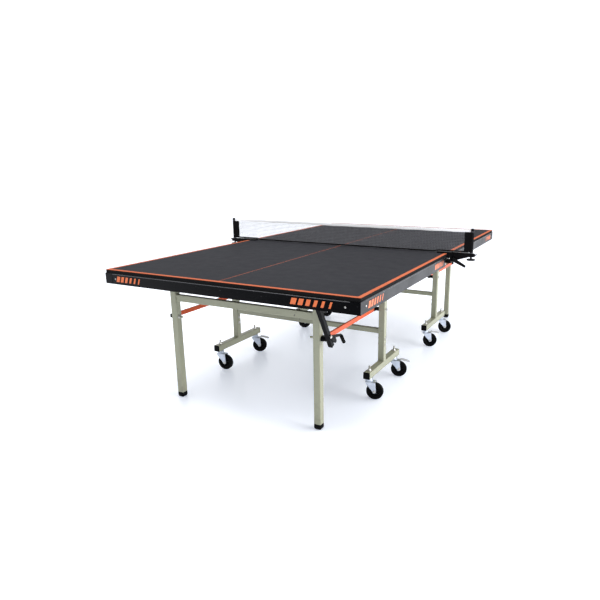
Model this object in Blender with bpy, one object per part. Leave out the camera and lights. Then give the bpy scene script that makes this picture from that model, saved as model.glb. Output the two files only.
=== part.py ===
"""Folding table-tennis table: two identical halves on wheeled carriages, with a clamped net.

Metres, +Z up. The origin is on the floor under the middle of the table. +Y runs along its length,
from the near half to the far half, and +X across it. Both halves are built in one frame, that of
the near half, and the far half hangs from an empty turned half a turn about Z.
"""

import math

import bmesh
import bpy
from mathutils import Matrix, Vector

GAP = 0.0003
BORE_CLEARANCE = 0.0003
BITE = 0.004
CUT_REACH = 0.010
COAT = 0.001

# playing surface
TABLE_LENGTH = 2.740
TABLE_WIDTH = 1.525
TABLE_HEIGHT = 0.760
BOARD_THICKNESS = 0.018
HALF_GAP = 0.003
BOARD_CORNER = 0.006

# steel rim under each board
APRON_PROUD = 0.0015
APRON_DEPTH = 0.059
APRON_WALL = 0.0025
APRON_FLANGE = 0.024
APRON_LIP = 0.014
APRON_SETBACK = 0.072
CORNER_COVER = 0.050
CORNER_COVER_PROUD = 0.001
CORNER_COVER_INSIDE = 0.0015

# rails under each board, which carry the leg and carriage pivots
RAIL_X = 0.4935
RAIL_WIDTH = 0.020
RAIL_DEPTH = 0.043
RAIL_END = 0.006

# the four pivots of each folding half, as (y, z)
CARRIAGE_Y = -0.530
LEG_Y = -1.180
PIVOT_OFFSET = 0.055
PIVOT_Z = 0.715
LINK_Z = 0.485
PIVOT_TOP = (CARRIAGE_Y + PIVOT_OFFSET, PIVOT_Z)
PIVOT_LEG = (LEG_Y + PIVOT_OFFSET, PIVOT_Z)
PIVOT_LINK = (CARRIAGE_Y, LINK_Z)
PIVOT_LINK_LEG = (LEG_Y, LINK_Z)
PIN_RADIUS = 0.006
PLATE_RADIUS = 0.018
PLATE_THICKNESS = 0.008
PLATE_DROP = 0.050
PIN_REACH = 0.008
COLLAR_RADIUS = 0.010
COLLAR_GAP = 0.001

# end legs
LEG_X = 0.4535
LEG_TUBE = 0.038
LEG_TOP = 0.700
LEG_BAR_Z = 0.595
LEG_BAR_HEIGHT = 0.038
LEG_BAR_WIDTH = 0.025
LINK_BOLT_HEAD = 0.024
LINK_BOLT_SHORT_END = 0.4925
FOOT_HEIGHT = 0.030
FOOT_WIDTH = 0.041
FOOT_CORNER = 0.006

# wheeled carriage
CARRIAGE_X = 0.532
POST_TUBE = 0.038
BASE_TUBE = 0.040
BASE_BOTTOM = 0.130
BASE_Y = -0.523
BASE_LENGTH = 0.470
CARRIAGE_BAR_Z = 0.353
CARRIAGE_BAR_HEIGHT = 0.030
CARRIAGE_BAR_WIDTH = 0.025
STEM_SPREAD = 0.196
STEM_RADIUS = 0.005
STEM_TOP = 0.198
NUT_RADIUS = 0.010
NUT_HEIGHT = 0.008
BOLT_HEIGHTS = (0.272, 0.309)
BOLT_RADIUS = 0.006
BOLT_REACH = 0.005

# links between carriage and end legs
LINK_X = 0.4795
LINK_THICKNESS = 0.010
LINK_RADIUS = 0.0125
LINK_PIN_REACH = 0.004

# lock between an end leg and the table top, with points as (y, z)
LOCK_X = 0.529
LOCK_TUBE = 0.022
LOCK_TOP = (-1.3347, 0.715)
LOCK_TIP = (-1.1863, 0.458)
LOCK_BASE = 0.005
LOCK_BASE_BACK = 0.012
LOCK_BASE_FRONT = 0.120
LOCK_BASE_SIDE = 0.031
HANGER_BACK = 0.010
HANGER_FRONT = 0.016
GUSSET = ((0.0, 0.739), (0.116, 0.739), (0.108, 0.652), (0.094, 0.636), (0.080, 0.640),
          (0.050, 0.655))
GUSSET_HALF = 0.004
BUSHING_GAP = 0.0015
LEVER_PIVOT = (-1.2192, 0.515)
LEVER_END = (-1.110, 0.495)
LEVER_PIN = 0.004
LEVER_PIN_BORE = 0.020
LEVER_PIN_PROUD = 0.003
LEVER_GAP = 0.0005
LEVER_HALF_HEIGHT = 0.008
LEVER_END_HALF_HEIGHT = 0.006
LEVER_THICKNESS = 0.004
HOOK_END = (-1.168, 0.480)
HOOK_HALF_HEIGHT = 0.017
HOOK_THICKNESS = 0.006
HOOK_REACH = 0.009
HOOK_ROOT = 0.010
GRIP_WAY = (0, 0.60, -0.80)
GRIP_START = 0.0075
GRIP_LENGTH = 0.056
GRIP_RADIUS = 0.009
HANDLE_RADIUS = 0.0035
HANDLE_SHORT = 0.002

# castors: the axle trails the swivel axis
WHEEL_RADIUS = 0.050
WHEEL_WIDTH = 0.028
WHEEL_HUB_WIDTH = 0.032
WHEEL_HUB_RADIUS = 0.016
WEB_RADIUS = 0.034
WEB_DEPTH = 0.004
TYRE_ROUND = 0.006
AXLE_RADIUS = 0.004
AXLE_PROUD = 0.004
CASTOR_TRAIL = 0.034
FORK_WALL = 0.003
FORK_INSIDE = 0.017
FORK_TOP = 0.106
CROWN_THICKNESS = 0.0055
CROWN_FRONT = 0.0190
CROWN_BACK = 0.005
CHEEK_FOOT = 0.010
CHEEK_BACK = ((0.010, 0.084), (0.006, 0.112))
CHEEK_FRONT = ((-0.0185, 0.112), (-0.019, 0.100))
CUP_RADIUS = 0.022
PEDAL_HINGE = (0.0445, 0.113)
PEDAL_HINGE_RADIUS = 0.0045
PEDAL_TOP = ((0.0, 0.0035), (0.030, 0.001), (0.058, -0.011))
PEDAL_WIDTH = 0.032
PEDAL_THICKNESS = 0.005
NEAR_HEADINGS = {"right_outer": 80, "right_inner": 74, "left_outer": 82, "left_inner": 68}
FAR_HEADINGS = {"right_outer": 66, "right_inner": 64, "left_outer": 47, "left_inner": 42}

# net
NET_HEIGHT = 0.1525
NET_OVERHANG = 0.1525
NET_Y = -0.014
NET_THICKNESS = 0.003
NET_POLE_RADIUS = 0.009
NET_POLE_GAP = 0.002
NET_POLE_EXTRA = 0.005
NET_POLE_BOTTOM = 0.744
CLAMP_Y = (-0.046, -0.006)
CLAMP_JAW_X = 0.697
CLAMP_JAW_HEIGHT = 0.008
CLAMP_JAW_CHAMFER = (0.006, 0.003)
CLAMP_THROAT = 0.0015
CLAMP_FOOT_X = 0.735
CLAMP_FOOT_HEIGHT = 0.011
CLAMP_OUTER_X = 0.790
CLAMP_BOTTOM = 0.700
CLAMP_PAD = (0.748, -0.026)
CLAMP_PAD_RADIUS = 0.010
CLAMP_PAD_BOTTOM = 0.705
NET_ARM = ((0.786, 0.704), (0.830, 0.722), (0.891, 0.7415), (0.928, 0.744), (0.928, 0.764),
           (0.900, 0.766), (0.786, 0.768))
NET_ARM_Y = (-0.024, -0.004)
WING = ((0.924, 0.746), (0.942, 0.758), (0.942, 0.762), (0.924, 0.758))
WING_HALF = 0.004
CLAMP_LEVER_Y = (-0.046, -0.0243)
CLAMP_PIVOT = (0.803, 0.722)
CLAMP_LEVER_END = (0.872, 0.686)
CLAMP_LEVER_RADIUS = 0.0125
CLAMP_LEVER_TIP = 0.009
CLAMP_PIN_RADIUS = 0.003
KNOB_RADIUS = 0.026
KNOB_THICKNESS = 0.010
KNOB_STEM_RADIUS = 0.006
KNOB_STEM_TOP = 0.741
KNOB_TOP = 0.731
NET_RISE = 0.002
NET_RISE_START = 0.004
NET_OVER_JAW = 0.001

# how many edges a full turn has
ROUND_PIN = 12
ROUND_ROD = 16
ROUND_POLE = 20
ROUND_KNOB = 24
HEXAGON = 6

CHARCOAL = (0.045, 0.046, 0.052)
BLACK_PAINT = (0.012, 0.012, 0.014)
CREAM_PAINT = (0.62, 0.62, 0.50)
RED_PAINT = (0.62, 0.10, 0.035)
BLACK_RUBBER = (0.015, 0.015, 0.015)
ZINC = (0.60, 0.63, 0.68)
PEDAL_GREY = (0.55, 0.56, 0.58)
BLACK_NYLON = (0.02, 0.02, 0.022)
NET_BLACK = (0.03, 0.03, 0.035)


def clear_scene():
    """Removes what a new file holds."""
    for found in list(bpy.data.objects):
        bpy.data.objects.remove(found)


def material(name, colour, roughness, metallic=0.0):
    """A Principled material, made once for each name."""
    made = bpy.data.materials.get(name)
    if made is None:
        made = bpy.data.materials.new(name)
        made.use_nodes = True
        made.diffuse_color = (*colour, 1.0)
        shader = made.node_tree.nodes["Principled BSDF"]
        shader.inputs["Base Color"].default_value = (*colour, 1.0)
        shader.inputs["Roughness"].default_value = roughness
        shader.inputs["Metallic"].default_value = metallic
    return made


def empty(name, location=(0, 0, 0), turn=0.0, parent=None):
    """An empty that other objects hang from, turned about Z."""
    made = bpy.data.objects.new(name, None)
    bpy.context.scene.collection.objects.link(made)
    made.parent = parent
    made.location = location
    made.rotation_euler = (0, 0, turn)
    return made


# --- outlines, as lists of (u, v) ---


def arc(centre, radius, start, end, steps):
    """Points on an arc, with its angles in degrees."""
    angles = [math.radians(start + (end - start) * i / steps) for i in range(steps + 1)]
    return [(centre[0] + radius * math.cos(a), centre[1] + radius * math.sin(a)) for a in angles]


def rounded_rectangle(low, high, radius, steps=2):
    """A rectangle between two corners, with round corners."""
    inner = [(high[0] - radius, high[1] - radius), (low[0] + radius, high[1] - radius)]
    inner += [(low[0] + radius, low[1] + radius), (high[0] - radius, low[1] + radius)]
    outline = []
    for quarter, centre in enumerate(inner):
        outline += arc(centre, radius, 90 * quarter, 90 * quarter + 90, steps)
    return outline


def stadium(a, b, radius_a, radius_b=None, steps=6):
    """The outline of a bar with round ends at a and b."""
    along = math.degrees(math.atan2(b[1] - a[1], b[0] - a[0]))
    outline = arc(b, radius_b or radius_a, along - 90, along + 90, steps)
    return outline + arc(a, radius_a, along + 90, along + 270, steps)


# --- closed solids, as meshes ---

PLACE = {
    "x": lambda u, v, w: (w, u, v),
    "y": lambda u, v, w: (u, w, v),
    "z": lambda u, v, w: (u, v, w),
}


def finished(bm):
    """A mesh from a bmesh, with its faces pointing out."""
    bmesh.ops.recalc_face_normals(bm, faces=bm.faces)
    mesh = bpy.data.meshes.new("solid")
    bm.to_mesh(mesh)
    bm.free()
    return mesh


def prism(outline, axis, start, end):
    """An outline in the plane across axis, extruded from start to end along it."""
    bm = bmesh.new()
    corners = [bm.verts.new(PLACE[axis](u, v, start)) for u, v in outline]
    face = bm.faces.new(corners)
    grown = bmesh.ops.extrude_face_region(bm, geom=[face])["geom"]
    moved = [v for v in grown if isinstance(v, bmesh.types.BMVert)]
    bmesh.ops.translate(bm, verts=moved, vec=Vector(PLACE[axis](0, 0, end - start)))
    return finished(bm)


def block(low, high):
    """A box between two corners."""
    outline = [(low[0], low[1]), (high[0], low[1]), (high[0], high[1]), (low[0], high[1])]
    return prism(outline, "z", low[2], high[2])


def tube(low, high, axis, radius=0.003):
    """A square tube's outer shape between two corners, with round edges along its axis."""
    index = "xyz".index(axis)
    across = [i for i in range(3) if i != index]
    flat_low = [low[i] for i in across]
    flat_high = [high[i] for i in across]
    return prism(rounded_rectangle(flat_low, flat_high, radius), axis, low[index], high[index])


def rod(axis, centre, radius, start, end, steps=ROUND_ROD):
    """A cylinder along an axis. centre is its place across that axis."""
    return prism(arc(centre, radius, 0, 360, steps)[:-1], axis, start, end)


def turned(profile, steps=20):
    """A closed profile of (radius, along) points spun about X, with nothing on the axis."""
    bm = bmesh.new()
    corners = [bm.verts.new((along, 0, radius)) for radius, along in profile]
    edges = [bm.edges.new((a, b)) for a, b in zip(corners, corners[1:] + corners[:1])]
    bmesh.ops.spin(bm, geom=corners + edges, axis=(1, 0, 0), cent=(0, 0, 0), dvec=(0, 0, 0),
                   angle=2 * math.pi, steps=steps, use_merge=True, use_duplicate=False)
    bmesh.ops.remove_doubles(bm, verts=bm.verts, dist=1e-6)
    return finished(bm)


def ring(low, high, section):
    """A section of (inset, z) points carried round a rectangle, with mitred corners."""
    bm = bmesh.new()
    loops = []
    for inset, z in section:
        x0, y0, x1, y1 = low[0] + inset, low[1] + inset, high[0] - inset, high[1] - inset
        loops.append([bm.verts.new((x, y, z)) for x, y in ((x0, y0), (x1, y0), (x1, y1), (x0, y1))])
    for here, there in zip(loops, loops[1:] + loops[:1]):
        for i in range(4):
            j = (i + 1) % 4
            bm.faces.new((here[i], here[j], there[j], there[i]))
    return finished(bm)


def moved(mesh, matrix):
    """The mesh after a transform."""
    mesh.transform(matrix)
    return mesh


def mirrored(mesh):
    """The mesh's mirror image across X, with its faces pointing out."""
    mesh.transform(Matrix.Scale(-1, 4, (1, 0, 0)))
    mesh.flip_normals()
    return mesh


def both_sides(make):
    """A mesh made at +X and its mirror image at -X."""
    return [make(), mirrored(make())]


def combined(pieces, cuts=()):
    """One mesh from overlapping closed pieces, less the cuts."""
    scene = bpy.context.scene.collection
    parts = [bpy.data.objects.new("piece", mesh) for mesh in list(pieces) + list(cuts)]
    for part in parts:
        scene.objects.link(part)
    base = parts[0]
    for number, part in enumerate(parts[1:], start=1):
        boolean = base.modifiers.new("join", "BOOLEAN")
        boolean.operation = "UNION" if number < len(pieces) else "DIFFERENCE"
        boolean.object = part
    bpy.context.view_layer.update()
    evaluated = base.evaluated_get(bpy.context.evaluated_depsgraph_get())
    mesh = bpy.data.meshes.new_from_object(evaluated)
    for part in parts:
        bpy.data.objects.remove(part)
    return mesh


def node(name, mesh, finish, parent=None, origin=(0, 0, 0)):
    """A named sub-part. Its mesh is given in its parent's frame, and its origin is moved to origin."""
    mesh.name = name
    mesh.transform(Matrix.Translation(-Vector(origin)))
    mesh.materials.clear()
    mesh.materials.append(finish)
    mesh.shade_smooth()
    mesh.set_sharp_from_angle(angle=math.radians(35))
    made = bpy.data.objects.new(name, mesh)
    bpy.context.scene.collection.objects.link(made)
    made.parent = parent
    made.location = origin
    return made


# --- table top ---


def board(half, frame):
    """The playing board of one half."""
    low = (-TABLE_WIDTH / 2, -TABLE_LENGTH / 2)
    high = (TABLE_WIDTH / 2, -HALF_GAP)
    outline = rounded_rectangle(low, high, BOARD_CORNER)
    mesh = prism(outline, "z", TABLE_HEIGHT - BOARD_THICKNESS, TABLE_HEIGHT)
    node(f"{half}_board", mesh, material("playing_surface", CHARCOAL, 0.42), frame)


def corner_cover(sign, low_z, high_z):
    """The angle that covers one outer corner of an apron."""
    x = TABLE_WIDTH / 2 + APRON_PROUD + CORNER_COVER_PROUD
    y = -TABLE_LENGTH / 2 - APRON_PROUD - CORNER_COVER_PROUD
    wall = CORNER_COVER_PROUD + CORNER_COVER_INSIDE
    outline = [(x, y), (x, y + CORNER_COVER), (x - wall, y + CORNER_COVER), (x - wall, y + wall)]
    outline += [(x - CORNER_COVER, y + wall), (x - CORNER_COVER, y)]
    return prism([(sign * u, v) for u, v in outline], "z", low_z, high_z)


def apron(half, frame):
    """The pressed steel rim under a board: a channel with a flange, a lip and corner covers."""
    top = TABLE_HEIGHT - BOARD_THICKNESS - GAP
    bottom = top - APRON_DEPTH
    wall = APRON_WALL
    section = [(0, top), (0, bottom), (APRON_LIP, bottom), (APRON_LIP, bottom + wall)]
    section += [(wall, bottom + wall), (wall, top - wall), (APRON_FLANGE, top - wall)]
    section += [(APRON_FLANGE, top)]
    low = (-TABLE_WIDTH / 2 - APRON_PROUD, -TABLE_LENGTH / 2 - APRON_PROUD)
    high = (TABLE_WIDTH / 2 + APRON_PROUD, -APRON_SETBACK)
    covers = [corner_cover(sign, bottom + COAT, top - COAT) for sign in (1, -1)]
    mesh = combined([ring(low, high, section)] + covers)
    node(f"{half}_apron", mesh, material("apron_steel", BLACK_PAINT, 0.35), frame)


def rail(half, side, sign, frame):
    """A rail under the board, bored for the carriage pivot and the leg pivot."""
    top = TABLE_HEIGHT - BOARD_THICKNESS - GAP
    inset = APRON_FLANGE + RAIL_END
    low = (RAIL_X - RAIL_WIDTH / 2, -TABLE_LENGTH / 2 + inset, top - RAIL_DEPTH)
    high = (RAIL_X + RAIL_WIDTH / 2, -APRON_SETBACK - inset, top)
    body = tube(low, high, "y")
    reach = (low[0] - CUT_REACH, high[0] + CUT_REACH)
    bores = [rod("x", p, PIN_RADIUS + BORE_CLEARANCE, *reach) for p in (PIVOT_TOP, PIVOT_LEG)]
    mesh = combined([body], bores)
    if sign < 0:
        mesh = mirrored(mesh)
    node(f"{half}_rail_{side}", mesh, material("black_steel", BLACK_PAINT, 0.45), frame)


# --- end legs ---


def leg_side(bolt_end):
    """One end leg with its pivot plate, its pivot pin and the bolt that the link turns on."""
    half = LEG_TUBE / 2
    outer = LEG_X + half
    low = (LEG_X - half, LEG_Y - half, FOOT_HEIGHT + GAP)
    post = tube(low, (outer, LEG_Y + half, LEG_TOP), "z")
    plate_foot = (LEG_Y, PIVOT_Z - PLATE_DROP)
    plate = prism(stadium(PIVOT_LEG, plate_foot, PLATE_RADIUS), "x", outer - BITE,
                  outer + PLATE_THICKNESS)
    pin = rod("x", PIVOT_LEG, PIN_RADIUS, outer, RAIL_X + PIN_REACH)
    bolt = rod("x", PIVOT_LINK_LEG, PIN_RADIUS, LEG_X - half - LINK_BOLT_HEAD, bolt_end)
    return [post, plate, pin, bolt]


def end_leg_frame(half, frame):
    """The two end legs and the bar between them, which swing as one. One side has the lock."""
    inner = LEG_X - LEG_TUBE / 2 + BITE
    low = (-inner, LEG_Y - LEG_BAR_WIDTH / 2, LEG_BAR_Z - LEG_BAR_HEIGHT / 2)
    high = (inner, LEG_Y + LEG_BAR_WIDTH / 2, LEG_BAR_Z + LEG_BAR_HEIGHT / 2)
    link_face = LINK_X + LINK_THICKNESS / 2
    bushing = rod("x", PIVOT_LINK_LEG, COLLAR_RADIUS, link_face + COLLAR_GAP,
                  LOCK_X - LOCK_TUBE / 2 - BUSHING_GAP)
    lock_side = leg_side(LOCK_X) + [bushing]
    plain_side = [mirrored(mesh) for mesh in leg_side(LINK_BOLT_SHORT_END)]
    mesh = combined([tube(low, high, "x")] + lock_side + plain_side)
    node(f"{half}_end_leg_frame", mesh, material("cream_steel", CREAM_PAINT, 0.4), frame,
         (0, *PIVOT_LEG))


def foot(half, side, sign, frame):
    """The rubber cap under an end leg."""
    reach = FOOT_WIDTH / 2
    centre = (sign * LEG_X, LEG_Y)
    low = (centre[0] - reach, centre[1] - reach)
    high = (centre[0] + reach, centre[1] + reach)
    mesh = prism(rounded_rectangle(low, high, FOOT_CORNER, 3), "z", 0, FOOT_HEIGHT)
    node(f"{half}_foot_{side}", mesh, material("black_rubber", BLACK_RUBBER, 0.8), frame)


# --- wheeled carriage ---


def castor_stems():
    """The castor stems and their nuts on top of one base tube."""
    top = BASE_BOTTOM + BASE_TUBE
    pieces = []
    for offset in (-STEM_SPREAD, STEM_SPREAD):
        centre = (CARRIAGE_X, BASE_Y + offset)
        pieces.append(rod("z", centre, STEM_RADIUS, top - BITE, STEM_TOP, ROUND_PIN))
        pieces.append(rod("z", centre, NUT_RADIUS, top - BITE / 2, top + NUT_HEIGHT, HEXAGON))
    return pieces


def t_leg(half, side, sign, frame):
    """A carriage leg on its base tube, with the castor stems and nuts, and the two pivot pins."""
    reach = POST_TUBE / 2
    inner = CARRIAGE_X - reach
    base_top = BASE_BOTTOM + BASE_TUBE
    base_low = (CARRIAGE_X - BASE_TUBE / 2, BASE_Y - BASE_LENGTH / 2, BASE_BOTTOM)
    base_high = (CARRIAGE_X + BASE_TUBE / 2, BASE_Y + BASE_LENGTH / 2, base_top)
    post_low = (inner, CARRIAGE_Y - reach, base_top - BITE)
    post_high = (CARRIAGE_X + reach, CARRIAGE_Y + reach, LEG_TOP)
    plate_foot = (CARRIAGE_Y, PIVOT_Z - PLATE_DROP)
    plate = prism(stadium(PIVOT_TOP, plate_foot, PLATE_RADIUS), "x", inner - PLATE_THICKNESS,
                  inner + BITE)
    rail_outer = RAIL_X + RAIL_WIDTH / 2
    collar = rod("x", PIVOT_TOP, COLLAR_RADIUS, rail_outer + COLLAR_GAP, inner - BITE / 2)
    pin = rod("x", PIVOT_TOP, PIN_RADIUS, RAIL_X - PIN_REACH, inner)
    link_face = LINK_X + LINK_THICKNESS / 2
    link_pin = rod("x", PIVOT_LINK, PIN_RADIUS, link_face - LINK_THICKNESS - LINK_PIN_REACH,
                   inner + BITE)
    spacer = rod("x", PIVOT_LINK, COLLAR_RADIUS, link_face + COLLAR_GAP, inner + BITE)
    pieces = [tube(base_low, base_high, "y"), tube(post_low, post_high, "z"), plate, collar, pin]
    pieces += [link_pin, spacer] + castor_stems()
    for height in BOLT_HEIGHTS:
        ends = (inner - BOLT_REACH, CARRIAGE_X + reach + BOLT_REACH)
        pieces.append(rod("x", (CARRIAGE_Y, height), BOLT_RADIUS, *ends, ROUND_PIN))
    mesh = combined(pieces)
    if sign < 0:
        mesh = mirrored(mesh)
    node(f"{half}_t_leg_{side}", mesh, material("cream_steel", CREAM_PAINT, 0.4), frame)


def carriage_bar(half, frame):
    """The bar that joins the two carriage legs."""
    end = CARRIAGE_X - POST_TUBE / 2 - GAP
    low = (-end, CARRIAGE_Y - CARRIAGE_BAR_WIDTH / 2, CARRIAGE_BAR_Z - CARRIAGE_BAR_HEIGHT / 2)
    high = (end, CARRIAGE_Y + CARRIAGE_BAR_WIDTH / 2, CARRIAGE_BAR_Z + CARRIAGE_BAR_HEIGHT / 2)
    mesh = tube(low, high, "x")
    node(f"{half}_carriage_bar", mesh, material("cream_steel", CREAM_PAINT, 0.4), frame)


def link(half, side, sign, frame):
    """The bar from a carriage leg to an end leg, which keeps the end leg upright."""
    low = LINK_X - LINK_THICKNESS / 2
    high = LINK_X + LINK_THICKNESS / 2
    body = prism(stadium(PIVOT_LINK, PIVOT_LINK_LEG, LINK_RADIUS), "x", low, high)
    radius = PIN_RADIUS + BORE_CLEARANCE
    reach = (low - CUT_REACH, high + CUT_REACH)
    bores = [rod("x", p, radius, *reach) for p in (PIVOT_LINK, PIVOT_LINK_LEG)]
    mesh = combined([body], bores)
    if sign < 0:
        mesh = mirrored(mesh)
    node(f"{half}_link_{side}", mesh, material("red_steel", RED_PAINT, 0.4), frame,
         (0, *PIVOT_LINK))


# --- leg lock, on one side of each half ---


def lock_arm(half, frame):
    """The bar that hangs from the top behind the end leg, with its base plate and gusset."""
    reach = LOCK_TUBE / 2
    low_x, high_x = LOCK_X - reach, LOCK_X + reach
    top = TABLE_HEIGHT - BOARD_THICKNESS - GAP
    ends = [Vector(LOCK_TOP), Vector(LOCK_TIP)]
    along = ends[1] - ends[0]
    across = Vector((-along.y, along.x)).normalized() * reach
    outline = [ends[0] + across, ends[0] - across, ends[1] - across, ends[1] + across]
    bar = prism([tuple(p) for p in outline], "x", low_x, high_x)
    y, z = LOCK_TOP
    base = block((low_x, y - LOCK_BASE_BACK, top - LOCK_BASE),
                 (LOCK_X + LOCK_BASE_SIDE, y + LOCK_BASE_FRONT, top))
    hanger = block((low_x, y - HANGER_BACK, z - BITE), (high_x, y + HANGER_FRONT, top - COAT))
    web = prism([(y + u, v) for u, v in GUSSET], "x", LOCK_X - GUSSET_HALF, LOCK_X + GUSSET_HALF)
    bore = rod("x", LEVER_PIVOT, LEVER_PIN + BORE_CLEARANCE, LOCK_X - BITE, LOCK_X + LEVER_PIN_BORE)
    mesh = combined([bar, base, hanger, web], [bore])
    node(f"{half}_lock_arm", mesh, material("black_steel", BLACK_PAINT, 0.45), frame)


def lever_plane():
    """The lock lever's inner and outer faces across X, beside the lock arm."""
    inner = LOCK_X + LOCK_TUBE / 2 + LEVER_GAP
    return inner, inner + LEVER_THICKNESS


def along_grip(radius, start, end, steps=ROUND_ROD):
    """A cylinder on the axis of the handle, which turns down from the lever's end."""
    origin = Vector((sum(lever_plane()) / 2, *LEVER_END))
    turn = Vector((0, 0, 1)).rotation_difference(Vector(GRIP_WAY)).to_matrix().to_4x4()
    return moved(rod("z", (0, 0), radius, start, end, steps), Matrix.Translation(origin) @ turn)


def lock_lever(half, frame):
    """The lever with a hook that holds the link bolt of the end leg against the lock arm."""
    inner, outer = lever_plane()
    bar = prism(stadium(LEVER_PIVOT, LEVER_END, LEVER_HALF_HEIGHT, LEVER_END_HALF_HEIGHT), "x",
                inner, outer)
    cheek = prism(stadium(LEVER_PIVOT, HOOK_END, LEVER_HALF_HEIGHT, HOOK_ROOT), "x", inner, outer)
    y, z = HOOK_END
    hook = block((LOCK_X - HOOK_REACH, y - HOOK_THICKNESS / 2, z - HOOK_HALF_HEIGHT / 2),
                 (outer - LEVER_GAP, y + HOOK_THICKNESS / 2, z + HOOK_HALF_HEIGHT))
    pin = rod("x", LEVER_PIVOT, LEVER_PIN, LOCK_X, outer + LEVER_PIN_PROUD)
    handle = along_grip(HANDLE_RADIUS, 0.0, GRIP_LENGTH - HANDLE_SHORT, ROUND_PIN)
    mesh = combined([bar, cheek, hook, pin, handle])
    node(f"{half}_lock_lever", mesh, material("black_steel", BLACK_PAINT, 0.45), frame,
         (0, *LEVER_PIVOT))


def lever_grip(half, frame):
    """The rubber grip on the lever's handle."""
    body = along_grip(GRIP_RADIUS, GRIP_START, GRIP_START + GRIP_LENGTH)
    bore = along_grip(HANDLE_RADIUS + BORE_CLEARANCE, 0.0, GRIP_LENGTH, ROUND_PIN)
    mesh = combined([body], [bore])
    node(f"{half}_lever_grip", mesh, material("black_rubber", BLACK_RUBBER, 0.8), frame,
         (0, *LEVER_PIVOT))


# --- castors, built with the swivel axis on Z and the wheel trailing along +Y ---


def fork_cheek():
    """One side of a fork, from the swivel bearing down to the axle."""
    outline = arc((CASTOR_TRAIL, WHEEL_RADIUS), CHEEK_FOOT, 180, 360, 6)
    outline += [(CASTOR_TRAIL + y, z) for y, z in CHEEK_BACK]
    outline += CHEEK_FRONT
    return prism(outline, "x", FORK_INSIDE, FORK_INSIDE + FORK_WALL)


def castor_fork(name, swivel):
    """The fork with its swivel bearing and the axle bolt."""
    outer = FORK_INSIDE + FORK_WALL
    crown_low = (-outer + COAT, -CROWN_FRONT, FORK_TOP)
    crown_high = (outer - COAT, CASTOR_TRAIL + CROWN_BACK, FORK_TOP + CROWN_THICKNESS)
    cup = rod("z", (0, 0), CUP_RADIUS, FORK_TOP + BITE, BASE_BOTTOM - GAP)
    end = outer + AXLE_PROUD
    axle = rod("x", (CASTOR_TRAIL, WHEEL_RADIUS), AXLE_RADIUS, -end, end)
    mesh = combined([block(crown_low, crown_high), cup, axle] + both_sides(fork_cheek))
    node(name, mesh, material("zinc", ZINC, 0.35, 0.9), swivel)


def castor_wheel(name, swivel):
    """A wheel with a rounded tyre and a raised hub, bored for its axle."""
    half = WHEEL_WIDTH / 2
    hub = WHEEL_HUB_WIDTH / 2
    web = half - WEB_DEPTH
    bore = AXLE_RADIUS + BORE_CLEARANCE
    side = arc((WHEEL_RADIUS - TYRE_ROUND, half - TYRE_ROUND), TYRE_ROUND, 0, 90, 2)
    side += [(WEB_RADIUS, half), (WEB_RADIUS - WEB_DEPTH, web), (WHEEL_HUB_RADIUS + COAT, web)]
    side += [(WHEEL_HUB_RADIUS, hub), (bore, hub)]
    profile = side + [(r, -a) for r, a in reversed(side)]
    mesh = turned(profile)
    mesh.transform(Matrix.Translation((0, CASTOR_TRAIL, WHEEL_RADIUS)))
    node(name, mesh, material("black_wheel", BLACK_NYLON, 0.5), swivel,
         (0, CASTOR_TRAIL, WHEEL_RADIUS))


def brake_pedal(name, swivel):
    """The pedal behind a castor's crown, pressed down to stop the wheel."""
    half = PEDAL_WIDTH / 2
    hinge = rod("x", PEDAL_HINGE, PEDAL_HINGE_RADIUS, -half, half, ROUND_PIN)
    y, z = PEDAL_HINGE
    outline = [(y + u, z + v) for u, v in PEDAL_TOP]
    outline += [(y + u, z + v - PEDAL_THICKNESS) for u, v in reversed(PEDAL_TOP)]
    plate = prism(outline, "x", -half + COAT, half - COAT)
    mesh = combined([hinge, plate])
    node(name, mesh, material("pedal_grey", PEDAL_GREY, 0.5), swivel, (0, *PEDAL_HINGE))


def castors(half, frame, turned_half, headings):
    """The four castors of a half. Its inner ones, towards the net, carry brake pedals."""
    for position, heading in headings.items():
        side, place = position.split("_")
        sign = (1 if side == "right" else -1) * (-1 if turned_half else 1)
        offset = STEM_SPREAD if place == "inner" else -STEM_SPREAD
        turn = -math.radians(heading) + (math.pi if turned_half else 0)
        location = (sign * CARRIAGE_X, BASE_Y + offset, 0)
        swivel = empty(f"{half}_swivel_{position}", location, turn, frame)
        castor_fork(f"{half}_castor_fork_{position}", swivel)
        castor_wheel(f"{half}_castor_wheel_{position}", swivel)
        if place == "inner":
            brake_pedal(f"{half}_brake_pedal_{position}", swivel)


# --- net ---


def net_clamp():
    """The C-shaped clamp on the board's edge, with the pad that grips from below."""
    surface = TABLE_HEIGHT + GAP
    throat = TABLE_WIDTH / 2 + CLAMP_THROAT
    top = TABLE_HEIGHT + CLAMP_JAW_HEIGHT
    floor = CLAMP_BOTTOM + CLAMP_FOOT_HEIGHT
    along, down = CLAMP_JAW_CHAMFER
    outline = [(CLAMP_JAW_X, surface), (throat, surface), (throat, floor), (CLAMP_FOOT_X, floor)]
    outline += [(CLAMP_FOOT_X, CLAMP_BOTTOM), (CLAMP_OUTER_X, CLAMP_BOTTOM)]
    outline += [(CLAMP_OUTER_X, top - down), (CLAMP_OUTER_X - along, top), (CLAMP_JAW_X, top)]
    under_board = TABLE_HEIGHT - BOARD_THICKNESS - GAP
    pad = rod("z", CLAMP_PAD, CLAMP_PAD_RADIUS, CLAMP_PAD_BOTTOM, under_board)
    return [prism(outline, "y", *CLAMP_Y), pad]


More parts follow.
